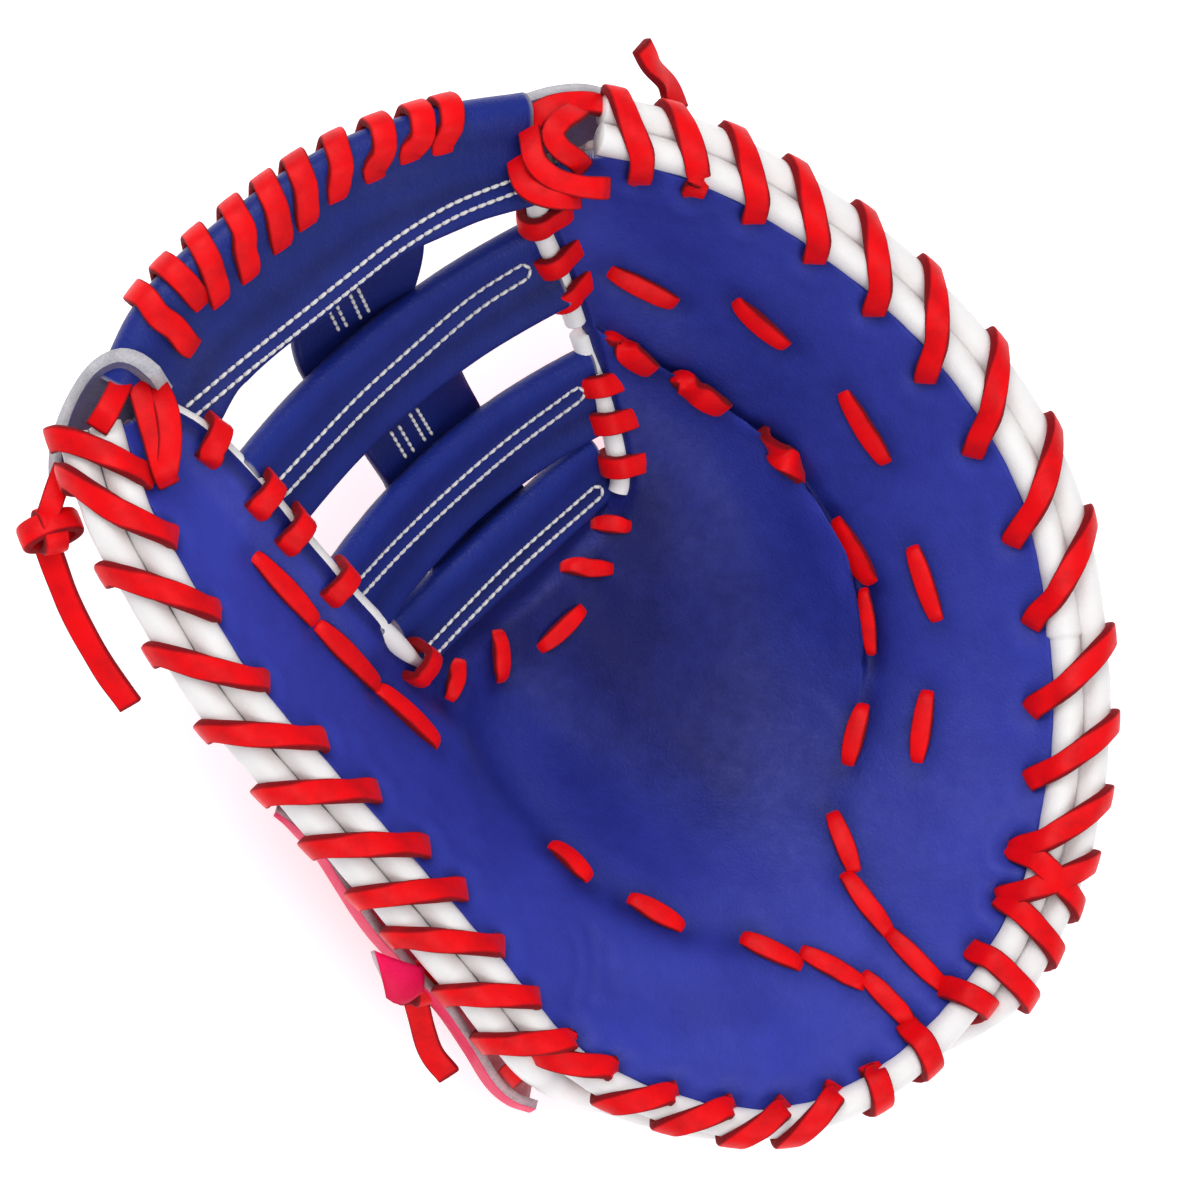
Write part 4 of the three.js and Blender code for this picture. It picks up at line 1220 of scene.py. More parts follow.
@dataclass
class Palm:
    """The palm's one piece of blue leather, with its fold, creases and dents."""

    pattern: Pattern
    view: PhotoView
    finishes: Finishes
    rows: int = 340
    columns: int = 126
    # How many columns beside each edge the lower side takes from the upper one
    edge_columns: int = 4
    under_rim: tuple[tuple[float, float], ...] = ((3.4, -3.4), (2.0, -1.5), (0.9, -0.35))
    under_edge: tuple[tuple[float, float], ...] = ((0.8, -0.3), (1.8, -1.3), (3.0, -3.2))
    web_seat: tuple[tuple[float, float], ...] = ((2.0, -0.8), (7.0, -2.6), (13.0, -6.0))
    thumb_cover: tuple[tuple[float, float], ...] = ((2.2, 0.9), (4.4, 1.3), (5.2, 0.2))
    faces: Faces = field(init=False)

    # Sections, and the share of the way in at which the grid's middle column lies
    fold_line = ((0, 10, 12.2, 13, 14, 15, 15.5, 16, 16.4, 18.5, 20),
                 (0.55, 0.48, 0.4, 0.41, 0.45, 0.57, 0.71, 0.87, 0.9, 0.62, 0.55))
    # Creases as spots of the image, with their depth and width; a negative depth is a soft ridge
    creases = (
        (((418, 640), (470, 715), (520, 800), (580, 870), (660, 915), (740, 935)), 2.2, 7.0),
        (((470, 700), (500, 780), (560, 860)), -1.2, 6.0),
        (((590, 930), (596, 960), (590, 1000)), 0.7, 2.0),
        (((575, 940), (580, 970), (572, 1005)), 0.6, 1.8),
        (((608, 950), (612, 985)), 0.5, 1.8),
        (((600, 1040), (680, 1062), (760, 1058)), -2.2, 12.0),
        (((560, 1010), (600, 1000), (680, 1010), (770, 1000)), 1.2, 8.0),
        (((560, 620), (640, 700), (720, 780)), 0.9, 9.0),
        (((860, 640), (850, 720), (820, 800)), 1.0, 7.0),
        (((930, 620), (960, 760), (940, 880)), -1.2, 14.0),
    )

    # How deep and wide the leather is pressed, and how much and how widely shade is painted there
    hole_dent = (1.5, 3.6)
    hole_shade = (0.75, 2.8)
    lace_dent = (0.7, 4.2)
    lace_shade = (0.28, 4.6)
    crease_shade = 0.10
    # The raised ring round a hole: its height, how far it lies from the hole, and its width
    hole_ring = (0.35, 7.5, 2.6)
    # The fold's crest past its edge: its place, its width, and how much highlight is painted on it
    crest = (4.0, 4.0)
    crest_light = 0.25
    # Fine creases on the crest: their height, their size and which they are
    crest_creases = (0.35, 3.6, 3.0)
    # The painted shade line before the fold: its place, its width and how dark it is
    fold_shade = (-0.8, 1.8, 0.5)
    # The painted shade on the finger panel beside the fold: the sections over which it darkens, and how dark
    # it gets
    panel_sections = (13.5, 16.0)
    panel_shade = 0.12
    # How high leather is raised where it begins to be worn and where it is, and how much it is worn
    raised = (0.8, 2.4)
    raised_wear = 0.4
    # Sections where the edge begins and ends to run under the web, and where the thumb's edge ends
    web_from = (5.3, 5.8)
    web_to = (12.5, 12.9)
    thumb_to = (5.45, 5.7)
    # The wall at the edge, and how much it grows with each column
    edge_wall = (0.5, 0.6)
    # Soft unevenness: its height, its size and which it is
    uneven = ((0.55, 26.0, 0.0), (0.22, 9.0, 7.0))
    # Painted shade in the pocket and at the web's root: spots of the image with heights, how dark, how wide,
    # and how much heights count there
    shaded_hollows = (
        (((600, 560, 45.0), (690, 650, 45.0)), 0.85, 66.0, 0.5),
        (((560, 570, 48.0), (560, 570, 48.0)), 0.35, 34.0, 1.0),
    )

    # White stitches that show along the palm's edge
    edge_seams = (
        Seam([(600, 1066), (640, 1088), (668, 1099), (702, 1108)], 2.3),
        Seam([(835, 1113), (870, 1098), (905, 1074), (935, 1046), (955, 1022)], 2.3),
        Seam([(134, 462), (142, 484)], 2.3),
    )

    def shares(self, t: np.ndarray) -> np.ndarray:
        """The grid's columns as shares of the way in, close together along the fold."""
        fold = np.interp(t, self.fold_line[0], self.fold_line[1])
        half = self.columns // 2
        near = 1 - (1 - np.linspace(0, 1, half, endpoint=False)) ** 1.35
        far = np.linspace(0, 1, self.columns - half) ** 1.35
        return np.concatenate([fold * near, fold + (1 - fold) * far], axis=1)

    def build(self, holes: list[np.ndarray], laces: list[np.ndarray]) -> bpy.types.Object:
        """Shapes the leather.

        Args:
            holes: Where laces go through it.
            laces: The lines along which laces press on it.

        Returns:
            The piece.
        """
        pattern = self.pattern
        t = pattern.sections(self.rows)[:, None]
        share = self.shares(t)
        points = pattern.palm_face(t, share)
        lift, shade_and_tone = self.relief(points, holes, laces)
        past = pattern.pleat_past(t, share)
        part = np.interp(t, PLEAT[:, 0], PLEAT[:, 2])
        crest = bell(past - self.crest[0], self.crest[1]) * part
        height, size, seed = self.crest_creases
        lift += crest * height * waves(points, size, seed)
        points = points + face_normals(points) * lift[..., None]
        # Painted shade in the line before the fold and on the finger panel beside it, a painted highlight on
        # the fold's crest, and painted shade in the pocket and at the web's root
        place, width, dark = self.fold_shade
        shade_and_tone += dark * part * bell(past - place, width) + self.shade(points)
        beside = smooth(t, *self.panel_sections) * (1 - smooth(past, -2, 2))
        shade_and_tone += self.panel_shade * beside - self.crest_light * crest
        worn = np.clip(crest + self.raised_wear * smooth(lift, *self.raised), 0, 1)
        whole = self.edged(t, points)
        self.faces = Faces(whole)
        pads = ((0, 0), (len(self.under_rim), len(self.under_edge)))
        # The edges that run down under the rolls and the web take painted shade
        shade_and_tone = np.clip(np.pad(shade_and_tone, pads, constant_values=0.8), -0.3, 1.0)
        values = {}
        for key, upper, under in (("shade_and_tone", shade_and_tone, 1.0), ("worn", np.pad(worn, pads), 0.0),
                                  ("flesh", np.zeros(whole.shape[:2]), 1.0)):
            line = np.concatenate([upper, np.full(upper.shape, under), upper[:, :1]], axis=1)
            values[key] = np.pad(line, ((1, 1), (0, 0)), mode="edge")
        shell = self.shell(t, share, points, whole)
        piece = dressed(shaped_grid("palm_panel", shell, True, values), self.finishes.palm)
        return kept(piece, Slot.PALM, "palm_shell")

    def relief(self, points: np.ndarray, holes: list[np.ndarray],
               laces: list[np.ndarray]) -> tuple[np.ndarray, np.ndarray]:
        """The marks of creases, holes and laces, with their painted shade.

        Args:
            points: The plain face.
            holes: Where laces go through it.
            laces: The lines along which laces press on it.

        Returns:
            How far the leather is raised, and how much shade is painted on it.
        """
        plain = Faces(points[::3, ::2])
        lift = np.zeros(points.shape[:2])
        shade_and_tone = np.zeros(points.shape[:2])
        for spots, depth, width in self.creases:
            line = np.array([plain.seen(self.view, spot)[0] for spot in spots])
            hump = bell(polyline_distance(points, line), width)
            lift -= depth * hump
            shade_and_tone += self.crease_shade * max(depth, 0) * hump
        height, apart, width = self.hole_ring
        for hole in holes:
            away = np.linalg.norm(points - hole, axis=-1)
            lift -= self.hole_dent[0] * bell(away, self.hole_dent[1]) - height * bell(away - apart, width)
            shade_and_tone += self.hole_shade[0] * bell(away, self.hole_shade[1])
        for line in laces:
            away = polyline_distance(points, line)
            lift -= self.lace_dent[0] * bell(away, self.lace_dent[1])
            shade_and_tone += self.lace_shade[0] * bell(away, self.lace_shade[1])
        return lift + sum(high * waves(points, size, seed) for high, size, seed in self.uneven), shade_and_tone

    def shade(self, points: np.ndarray) -> np.ndarray:
        """The painted shade in the pocket and at the web's root.

        Args:
            points: The face.

        Returns:
            The painted shade at each point.
        """
        shade_and_tone = np.zeros(points.shape[:2])
        for rows, dark, wide, upright in self.shaded_hollows:
            counted = np.array([1.0, 1.0, upright])
            shade_and_tone += dark * bell(polyline_distance(points * counted, self.view.places(rows) * counted), wide)
        return shade_and_tone

    def edged(self, t: np.ndarray, points: np.ndarray) -> np.ndarray:
        """The face with its edges: down beside the rolls, and on under the web.

        Args:
            t: The sections.
            points: The face.

        Returns:
            The wider face.
        """
        out, into = self.pattern.outward(t[:, 0]), self.pattern.inward(t[:, 0])
        outer = [points[:, 0] + out * run + UPRIGHT * fall for run, fall in self.under_rim]
        base = smooth(t, *self.web_from) * (1 - smooth(t, *self.web_to))
        thumb = (1 - smooth(t, *self.thumb_to)) * (1 - base)
        inner = []
        for plain, seat, cover in zip(self.under_edge, self.web_seat, self.thumb_cover):
            run, fall = (a + (b - a) * base + (c - a) * thumb for a, b, c in zip(plain, seat, cover))
            inner.append(points[:, -1] + into * run + UPRIGHT * fall)
        return np.concatenate([np.stack(outer, axis=1), points, np.stack(inner, axis=1)], axis=1)

    def shell(self, t: np.ndarray, share: np.ndarray, points: np.ndarray, whole: np.ndarray) -> np.ndarray:
        """The wall as a closed form: the face, then the lower side back to where it began.

        Args:
            t: The sections.
            share: The grid's columns as shares of the way in.
            points: The face.
            whole: The face with its edges.

        Returns:
            Rows and columns of points, with both ends folded shut.
        """
        pattern, margin = self.pattern, self.edge_columns
        thin, growth = self.edge_wall
        wall = np.minimum(pattern.palm_wall, thin + growth * np.arange(whole.shape[1]))
        wall = np.minimum(wall, wall[::-1])
        plain = pattern.palm_plain(t, share)
        calm = plain - pattern.wall_normal(t, share) * pattern.palm_wall
        calm = calm + UPRIGHT * (0.5 * np.minimum(points - plain, 0.0)[..., 2:])
        lower = whole - UPRIGHT * wall[:, None]
        first, last = len(self.under_rim) + margin, len(self.under_edge) + margin
        lower[:, first:-last] = calm[:, margin:-margin]
        shell = np.concatenate([whole, lower[:, ::-1], whole[:, :1]], axis=1)
        return np.concatenate([self.folded(shell[:1]), shell, self.folded(shell[-1:])], axis=0)

    def folded(self, ring_points: np.ndarray) -> np.ndarray:
        """The end of the shell, where its lower face meets its upper one."""
        upper = ring_points[:, :ring_points.shape[1] // 2]
        return np.concatenate([upper, upper[:, ::-1], ring_points[:, -1:]], axis=1)


@dataclass
class Back:
    """The back's pink leather, from under its rolled binding round the hollow for the hand."""

    pattern: Pattern
    finishes: Finishes
    rows: int = 300
    flange_columns: int = 12
    columns: int = 72
    faces: Faces = field(init=False)

    def build(self) -> bpy.types.Object:
        """Shapes the leather."""
        pattern = self.pattern
        t = pattern.sections(self.rows)
        flange = pattern.flange_share(t)[:, None]
        near = flange * np.linspace(0, 1, self.flange_columns, endpoint=False)
        bend = (1 - np.cos(np.linspace(0, math.pi, self.columns))) / 2
        shares = np.concatenate([near, flange + (1 - flange) * bend], axis=1)
        face = pattern.back_face(t[:, None], shares)
        lip = pattern.back_lip(t)[:, None]
        points = np.concatenate([lip, (lip + face[:, :1]) / 2, face], axis=1)
        lift = 0.5 * waves(points, 30.0, 11.0) + 0.2 * waves(points, 10.0, 5.0)
        clear = smooth(points[..., 2], 1.5, 8.0)
        points = points - face_normals(points) * (lift * clear)[..., None]
        points[..., 2] = np.maximum(points[..., 2], 0.0)
        self.faces = Faces(points)
        shade_and_tone = np.clip(0.35 + 0.5 * waves(points, 40.0, 2.0), 0, 1)
        piece = shaped_grid("back_panel", points[:, ::-1], values={"shade_and_tone": shade_and_tone[:, ::-1]})
        dressed(piece, self.finishes.back, self.finishes.pink_flesh)
        thickened(piece, pattern.back_wall)
        return kept(piece, Slot.BACK, "back_shell")

    def under(self, place: np.ndarray) -> float | None:
        """How high the back's outer face is over a place, or nothing where it isn't over it."""
        found = self.faces.along(place * LEVEL - UPRIGHT * 30.0, UPRIGHT)
        return None if found is None else float(found[0][2])


@dataclass(frozen=True)
class TurnRow:
    """A place on one turn of a rim lace, in millimetres from the seam."""

    out: float
    up: float
    # How far it is on the way to the next turn, and how much of the back's shift it takes, as shares
    pitch: float = 0.0
    drop: float = 0.0


class Side(Enum):
    """The two laces of the rim."""

    THUMB = "thumb"
    FINGER = "finger"


@dataclass(frozen=True)
class Hole:
    """Where a turn goes down through the palm: the nearest section, how far in it is, and the place."""

    section: float
    inset: float
    place: np.ndarray


@dataclass
class RimLace:
    """One lace whipped round the rim, with the spots where each turn comes over the rim and goes in."""

    side: Side
    pattern: Pattern
    view: PhotoView
    palm: Faces
    back: Back
    turns: tuple[tuple[tuple[float, float], tuple[float, float]], ...]
    lift: float = LACE_THICKNESS / 2 + 0.25
    hole_inset: float = 1.3
    # How deep a turn goes below the palm's face, and how far it keeps below the back's outer face
    dive: float = 3.4
    below_back: float = 1.4
    under_back: float = 1.8
    starts: list[float] = field(init=False)
    ends: list[Hole] = field(init=False)

    over_closed = (
        TurnRow(9.6, -2.6, drop=1.0), TurnRow(9.55, -0.4, drop=0.9), TurnRow(8.2, 2.4, drop=0.7),
        TurnRow(4.9, 4.25, drop=0.5), TurnRow(0.4, 4.95), TurnRow(-4.15, 5.6), TurnRow(-7.4, 4.7),
    )
    over_mouth = (
        TurnRow(1.35, -1.4), TurnRow(1.2, 1.4), TurnRow(-0.8, 4.4), TurnRow(-4.15, 5.6), TurnRow(-7.4, 4.7),
    )
    under_closed = (
        TurnRow(-4.0, -12.0, 0.4, 1.0), TurnRow(5.5, -11.7, 0.75, 1.0), TurnRow(9.2, -7.4, 0.92, 1.0),
    )
    under_mouth = (TurnRow(-8.6, -5.9, 0.4), TurnRow(-4.0, -6.2, 0.7), TurnRow(0.3, -4.4, 0.9))
    # The middle of the rolls that a turn goes round, out from the seam, and how far out the turn starts
    middle_closed = -0.5
    start_closed = 9.6
    middle_mouth = -4.15
    start_mouth = 1.2
    # From which share of its opening the wrist mouth counts as open
    mouth_from = 0.15
    # How far in from the seam holes are looked for
    hole_depths = np.linspace(10.5, 17.5, 15)
    # Places between the rim and the hole: shares of the way, and how high, as a share of the lift
    laid = ((0.45, 1.35), (0.78, 1.1))

    def __post_init__(self) -> None:
        """Finds where each turn comes over the rim and where its hole is."""
        pattern = self.pattern
        t = np.linspace(0.05, LAST - 0.05, 1400)
        seam, out = pattern.rim(t), pattern.outward(t)
        opened = pattern.mouth_open(t)[:, None] > self.mouth_from
        outer = self.view.pixel(seam + out * np.where(opened, self.start_mouth, self.start_closed - 0.2))
        insets = (self.hole_depths[None] - pattern.rim_seat) / pattern.reach(t)[:, None]
        holes = self.view.pixel(pattern.palm_face(t[:, None], np.clip(insets, 0, 1)))
        self.starts, self.ends = [], []
        for over, hole in self.turns:
            self.starts.append(float(t[np.argmin(np.linalg.norm(outer - over, axis=-1))]))
            away = np.linalg.norm(holes - hole, axis=-1)
            at, depth = np.unravel_index(np.argmin(away), away.shape)
            place = pattern.palm_face(t[at], float(np.clip(insets[at, depth], 0, 1)))
            gaps = np.linalg.norm((seam - place)[:, :2], axis=-1)
            foot = int(np.argmin(gaps))
            place = place + unit((seam[foot] - place) * LEVEL) * self.hole_inset
            self.ends.append(Hole(float(t[foot]), float(gaps[foot]) - self.hole_inset, place))

    def on_palm(self, place: np.ndarray) -> tuple[np.ndarray, np.ndarray]:
        """The place on the palm's face under or over a place, and its normal."""
        found = self.palm.along(place + UPRIGHT * 15.0, -UPRIGHT)
        return found if found is not None else (place, UPRIGHT)

    def holes(self) -> list[np.ndarray]:
        """The middle of each hole."""
        return [hole.place for hole in self.ends]

    def rim_place(self, t: float, row: TurnRow) -> np.ndarray:
        """A place over or under the rim.

        Args:
            t: The section.
            row: The row of the turn.

        Returns:
            The place.
        """
        section = np.array(t)
        place = self.pattern.rim(section) + self.pattern.outward(section) * row.out + UPRIGHT * row.up
        return place + self.pattern.back_shift(section) * row.drop

    def path(self) -> tuple[np.ndarray, np.ndarray, np.ndarray]:
        """The lace's whole way: its points, the way its face looks, and how much it is squeezed."""
        points, ups, squeeze = [], [], []

        def add(place: np.ndarray, up: np.ndarray, narrow: float = 0.0) -> None:
            """Adds a station."""
            points.append(place)
            ups.append(unit(up))
            squeeze.append(narrow)

        for number, (start, hole) in enumerate(zip(self.starts, self.ends)):
            end = hole.section
            mouth = float(self.pattern.mouth_open(np.array((start + end) / 2))) > self.mouth_from
            middle, outer = ((self.middle_mouth, self.start_mouth) if mouth
                             else (self.middle_closed, self.start_closed))
            for row in self.over_mouth if mouth else self.over_closed:
                t = start + (end - start) * max(outer - row.out, 0.0) / (outer + hole.inset)
                place = self.rim_place(t, row)
                add(place, place - self.rim_place(t, TurnRow(middle, -1.0)))
            last = points[-1]
            into = unit((hole.place - last) * LEVEL)
            for near, lift in self.laid:
                place, normal = self.on_palm(last + (hole.place - last) * near)
                add(place + normal * self.lift * lift, normal)
            place, normal = self.on_palm(hole.place)
            add(place + normal * 0.5, unit(normal + into * 0.9), 0.03)
            add(place - normal * self.dive + into * 0.4, into, 0.2)
            if number + 1 == len(self.starts):
                break
            if not mouth:
                low = self.back.under(points[-1])
                if low is not None:
                    add(points[-1] * LEVEL + UPRIGHT * (low - self.below_back), into - UPRIGHT * 0.6, 0.1)
            for row in self.under_mouth if mouth else self.under_closed:
                t = end + (self.starts[number + 1] - end) * row.pitch
                place = self.rim_place(t, row)
                roof = None if mouth or row.out > 6 else self.back.under(place)
                if roof is not None:
                    place[2] = min(place[2], roof - self.under_back)
                add(place, place - self.rim_place(t, TurnRow(middle, -2.0, drop=row.drop)))
        return np.array(points), np.array(ups), np.array(squeeze)

    def build(self, finishes: Finishes) -> bpy.types.Object:
        """Lays the lace."""
        path, ups, squeeze = self.path()
        side = self.side.value
        piece = strap(f"{side}_whipping", path, ups, step=1.5, narrow=squeeze, seed=len(self.turns))
        return kept(dressed(piece, finishes.lace), Slot.LACE, f"{side}_rim_lace")


@dataclass
class RimBinding:
    """The two rolled white bindings of the rim, pinched where the laces cross them."""

    pattern: Pattern
    view: PhotoView
    finishes: Finishes
    laces: list[RimLace]
    stations: int = 900
    swell: float = 0.24
    pinch: float = 0.26
    # The spot of the image where a second length of the palm's roll is slipped over the first
    joint: tuple[float, float] = (1062, 636)

    # Each roll's name, its node, and how far along each turn a lace crosses it
    rolls = (("palm_side_roll", "palm_binding", 0.62), ("back_side_roll", "back_binding", 0.28))

    def pressed(self, t: np.ndarray, run: np.ndarray, slant: float) -> np.ndarray:
        """How much laces press the roll.

        Args:
            t: The sections of the stations.
            run: How far along the rim each is.
            slant: How far along each turn the roll is crossed.

        Returns:
            The pressing at each station, from 0 to 1.
        """
        pressed = np.zeros_like(t)
        for lace in self.laces:
            for start, hole in zip(lace.starts, lace.ends):
                crossing = start + (hole.section - start) * slant
                pressed = np.maximum(pressed, bell(run - np.interp(crossing, t, run), 3.8))
        return pressed

    def build(self) -> list[bpy.types.Object]:
        """Lays the two rolls."""
        pattern = self.pattern
        t = np.linspace(0.08, LAST - 0.05, self.stations)
        pieces = []
        for (name, node, slant), curve in zip(self.rolls, (pattern.palm_roll, pattern.back_roll)):
            path = curve(t)
            run = run_along(path)
            pressed = self.pressed(t, run, slant)
            radii = pattern.roll + self.swell - self.pinch * pressed + 0.1 * waves(path, 11.0, slant)
            if node == "palm_binding":
                at = t[np.argmin(np.linalg.norm(self.view.pixel(path) - self.joint, axis=-1))]
                past = run - np.interp(at, t, run)
                radii = radii + np.where(past > 0, 0.8 * np.exp(-np.maximum(past, 0) / 9.0), 0.0)
            # Painted shade where the laces pinch the roll, which is also less polished there
            piece = roll(name, path, radii, 18, {"shade_and_tone": 0.1 + 0.5 * pressed, "worn": 1 - pressed})
            pieces.append(kept(dressed(piece, self.finishes.binding), Slot.BINDING, node))
        return pieces


@dataclass
class EdgeBindings:
    """The white rolls of the palm's inner edges, and the short laces that whip them to the web."""

    pattern: Pattern
    view: PhotoView
    finishes: Finishes
    stations: int = 160
    slim: float = 0.5
    # How much thinner the thumb's roll is at its end
    thin: float = 1.6

    # Each roll's name, its node and its first and last sections
    rolls = (
        ("thumb_edge_roll", "thumb_binding", 0.35, 5.45),
        ("pleat_edge_roll", "pleat_binding", 12.7, 16.4),
        ("finger_edge_roll", "finger_binding", 16.65, 19.85),
    )
    # The middle of each short lace in the image, its lean in degrees, and its width as a share
    wraps = (
        (209, 437, 20, 1.0), (264, 488, 12, 1.0), (297, 521, 12, 1.0), (340, 574, 8, 0.95),
        (414, 660, 0, 0.95), (536, 218, 10, 1.0), (545, 260, 6, 1.0), (558, 292, 14, 1.0),
        (593, 383, -14, 1.0), (608, 420, -10, 1.0), (613, 463, -6, 1.0),
    )
    # How far in a short lace starts and how high it comes up, where the palm covers the roll and elsewhere
    grip_covered = (5.4, 4.4)
    grip_bare = (8.2, 2.4)
    # The last section where the palm covers the roll, and how much higher laces lie there
    cover_end = 5.3
    cover = 1.6

    def build(self) -> list[bpy.types.Object]:
        """Lays the rolls and the short laces."""
        drop = UPRIGHT * self.pattern.palm_wall
        level = np.ones(self.stations)
        spots, pieces = [], []
        for name, node, start, end in self.rolls:
            t = np.linspace(start, end, self.stations)
            path = self.pattern.inner_edge(t) - drop
            spots.append((t, self.view.pixel(path)))
            thin = self.thin * smooth(t, 4.6, 5.4) * (end < 6)
            radii = self.pattern.edge_roll - self.slim - thin + 0.14 * waves(path, 12.0, start)
            piece = roll(name, path, radii, 16, {"shade_and_tone": 0.15 * level, "worn": 0.5 * level})
            pieces.append(kept(dressed(piece, self.finishes.binding), Slot.BINDING, node))
        parts = []
        for number, (x, y, lean, share) in enumerate(self.wraps):
            gaps, sections = min(((np.linalg.norm(pixels - (x, y), axis=-1), t) for t, pixels in spots),
                                 key=lambda found: found[0].min())
            parts.append(self.wrap(float(sections[np.argmin(gaps)]), lean, share, number))
        pieces.append(kept(dressed(joined("edge_whipping", parts), self.finishes.lace), Slot.LACE))
        return pieces

    def wrap(self, t: float, lean: float, share: float, number: int) -> bpy.types.Object:
        """One short lace round the roll of an inner edge.

        Args:
            t: The section where it lies.
            lean: How far it leans from square, in degrees.
            share: Its width as a share of a lace.
            number: Which lace it is.

        Returns:
            The part.
        """
        section = np.array(t)
        pattern = self.pattern
        centre = pattern.inner_edge(section) - UPRIGHT * pattern.palm_wall
        way = unit(pattern.inner_edge(section + 0.05) - pattern.inner_edge(section - 0.05))
        into = unit(np.cross(way, UPRIGHT))
        if into @ pattern.inward(section) > 0:
            into = -into
        up = unit(np.cross(into, way))
        up = up if up[2] > 0 else -up
        radius = pattern.edge_roll - self.slim + LACE_THICKNESS / 2 + 0.15
        covered = t < self.cover_end
        grip, above = self.grip_covered if covered else self.grip_bare
        tilt = way * math.tan(math.radians(lean))
        points = [centre + into * grip - up * 1.6 + tilt * 6,
                  centre + into * (grip - 0.6) + up * above + tilt * 5.5]
        ups = [into + up, up + into * 0.4]
        for angle in np.radians(range(120, -121, -30)):
            spoke = -into * math.cos(angle) + up * math.sin(angle)
            out = radius + (self.cover if covered and angle > 1.0 else 0.0)
            points.append(centre + spoke * out - tilt * radius * math.cos(angle))
            ups.append(spoke)
        return strap(f"wrap_{number}", np.array(points), np.array(ups), LACE_WIDTH * share, seed=number)


@dataclass
class Web:
    """The web: a top band, three bars and the tabs that tie them, with their seams and the band's lace."""

    pattern: Pattern
    view: PhotoView
    finishes: Finishes
    needle: Needle
    bar_roll: float = 7.0
    band_roll: float = 9.0
    band_width: float = 29.0
    band_slope: float = 20.0
    tab_width: float = 36.0
    tab_lap: float = 7.0
    tab_drop: float = 2.4
    strips: list[tuple[np.ndarray, np.ndarray, np.ndarray, float]] = field(default_factory=list)
    faces: list[Faces] = field(default_factory=list)

    # The band's middle line, in hundredths of the width, length and height
    band_places = ((-43.1, 14.4, 95), (-39.9, 20.6, 99), (-33, 27.2, 100), (-25.2, 32.8, 100),
                   (-16.7, 36.3, 98), (-9.3, 38.2, 94))
    # How much the band's flap widens along it
    flap = ((0.0, 0.15, 0.42, 0.75, 1.0), (5.0, 6.5, 7.5, 4.0, 0.5))
    # Each bar's name, node, sections at the thumb and the fingers, width, shift, bow, sag and slope
    bars = (
        ("web_strip_upper", "web_bar_upper", 2.3, 18.0, 27.0, 0.0, 6.0, 4.0, 28.0),
        ("web_strip_middle", "web_bar_middle", 4.0, 15.2, 26.0, 0.0, 6.0, 4.0, 30.0),
        ("web_strip_lower", "web_bar_lower", 5.4, 12.9, 20.0, 8.0, 0.0, 0.0, 24.0),
    )
    # Each tab's name, node, upper and lower strips, and how far along each strip it lies
    tabs = (
        ("web_tie_outer", "web_tab_outer", 0, 1, (0.565, 0.47)),
        ("web_tie_middle", "web_tab_middle", 1, 2, (0.5, 0.5)),
        ("web_tie_inner", "web_tab_inner", 2, 3, (0.5, 0.5)),
    )
    band_seams = (
        Seam([(190, 412), (240, 370), (300, 322), (350, 282), (400, 243), (455, 210), (520, 184)], 2.7, 13.0),
    )
    bar_seams = (
        (Seam([(280, 490), (320, 447), (365, 400), (420, 350), (475, 303), (523, 272)], 2.9, 15.0, True),),
        (Seam([(358, 590), (400, 545), (450, 497), (510, 445), (578, 394)], 2.9, 13.0, True),),
        (Seam([(430, 652), (470, 610), (520, 560), (597, 492)], 2.8, 12.0, True),),
    )
    # The tabs' short rows of stitches, each from its first to its last spot
    tab_rows = (
        (((325, 303), (339, 331)), ((333, 298), (347, 327)),
         ((347, 288), (361, 319)), ((355, 283), (369, 312))),
        (((390, 431), (406, 458)), ((398, 425), (414, 452)),
         ((409, 413), (425, 441)), ((416, 408), (432, 435))),
    )
    # Where each turn of the band's lace comes over the top edge, and its hole
    whips = (
        ((143, 300), (196, 352)), ((170, 268), (206, 308)), ((199, 238), (222, 306)),
        ((230, 206), (252, 281)), ((262, 180), (283, 252)), ((298, 160), (310, 228)),
        ((335, 142), (340, 203)), ((375, 124), (375, 184)), ((416, 112), (413, 167)),
        ((443, 106), (446, 158)),
    )

    def section(self, width: float, roll_size: float) -> np.ndarray:
        """The outline of a strip whose upper edge is rolled.

        Args:
            width: The strip's width.
            roll_size: The roll's diameter.

        Returns:
            The outline's points, the last the same as the first.
        """
        half, r, w = width / 2, roll_size / 2, self.pattern.web_wall / 2
        centre = half - r
        angles = np.radians(np.linspace(0, 104, 9))
        top = [(centre + r * math.cos(a), 1.12 * r * math.sin(a)) for a in angles]
        neck = [(centre - r * 0.75, r * 0.98), (centre - r * 1.35, w + (r - w) * 0.5),
                (centre - r * 1.9, w + (r - w) * 0.16), (centre - r * 2.4, w)]
        flat = [(x, w) for x in np.linspace(centre - r * 2.8, -half + 1.2, 8)]
        edge = [(-half + 0.4, w * 0.75), (-half, w * 0.3)]
        upper = top + neck + flat + edge
        lower = [(s, -h) for s, h in reversed(upper[1:])]
        return np.array([*upper, *lower, upper[0]])

    def frames(self, path: np.ndarray, slope: float) -> tuple[np.ndarray, np.ndarray]:
        """The way up the web and the way its face looks, along a strip.

        Args:
            path: The strip's middle line.
            slope: How far the strip leans, in degrees.

        Returns:
            The two ways at each station.
        """
        ways = unit(np.gradient(path, axis=0))
        down = unit(np.column_stack([ways[:, 1], -ways[:, 0], np.zeros(len(ways))]))
        ups = down * math.sin(math.radians(slope)) + UPRIGHT * math.cos(math.radians(slope))
        ups = unit(ups - dot(ups, ways) * ways)
        return np.cross(ups, ways), ups

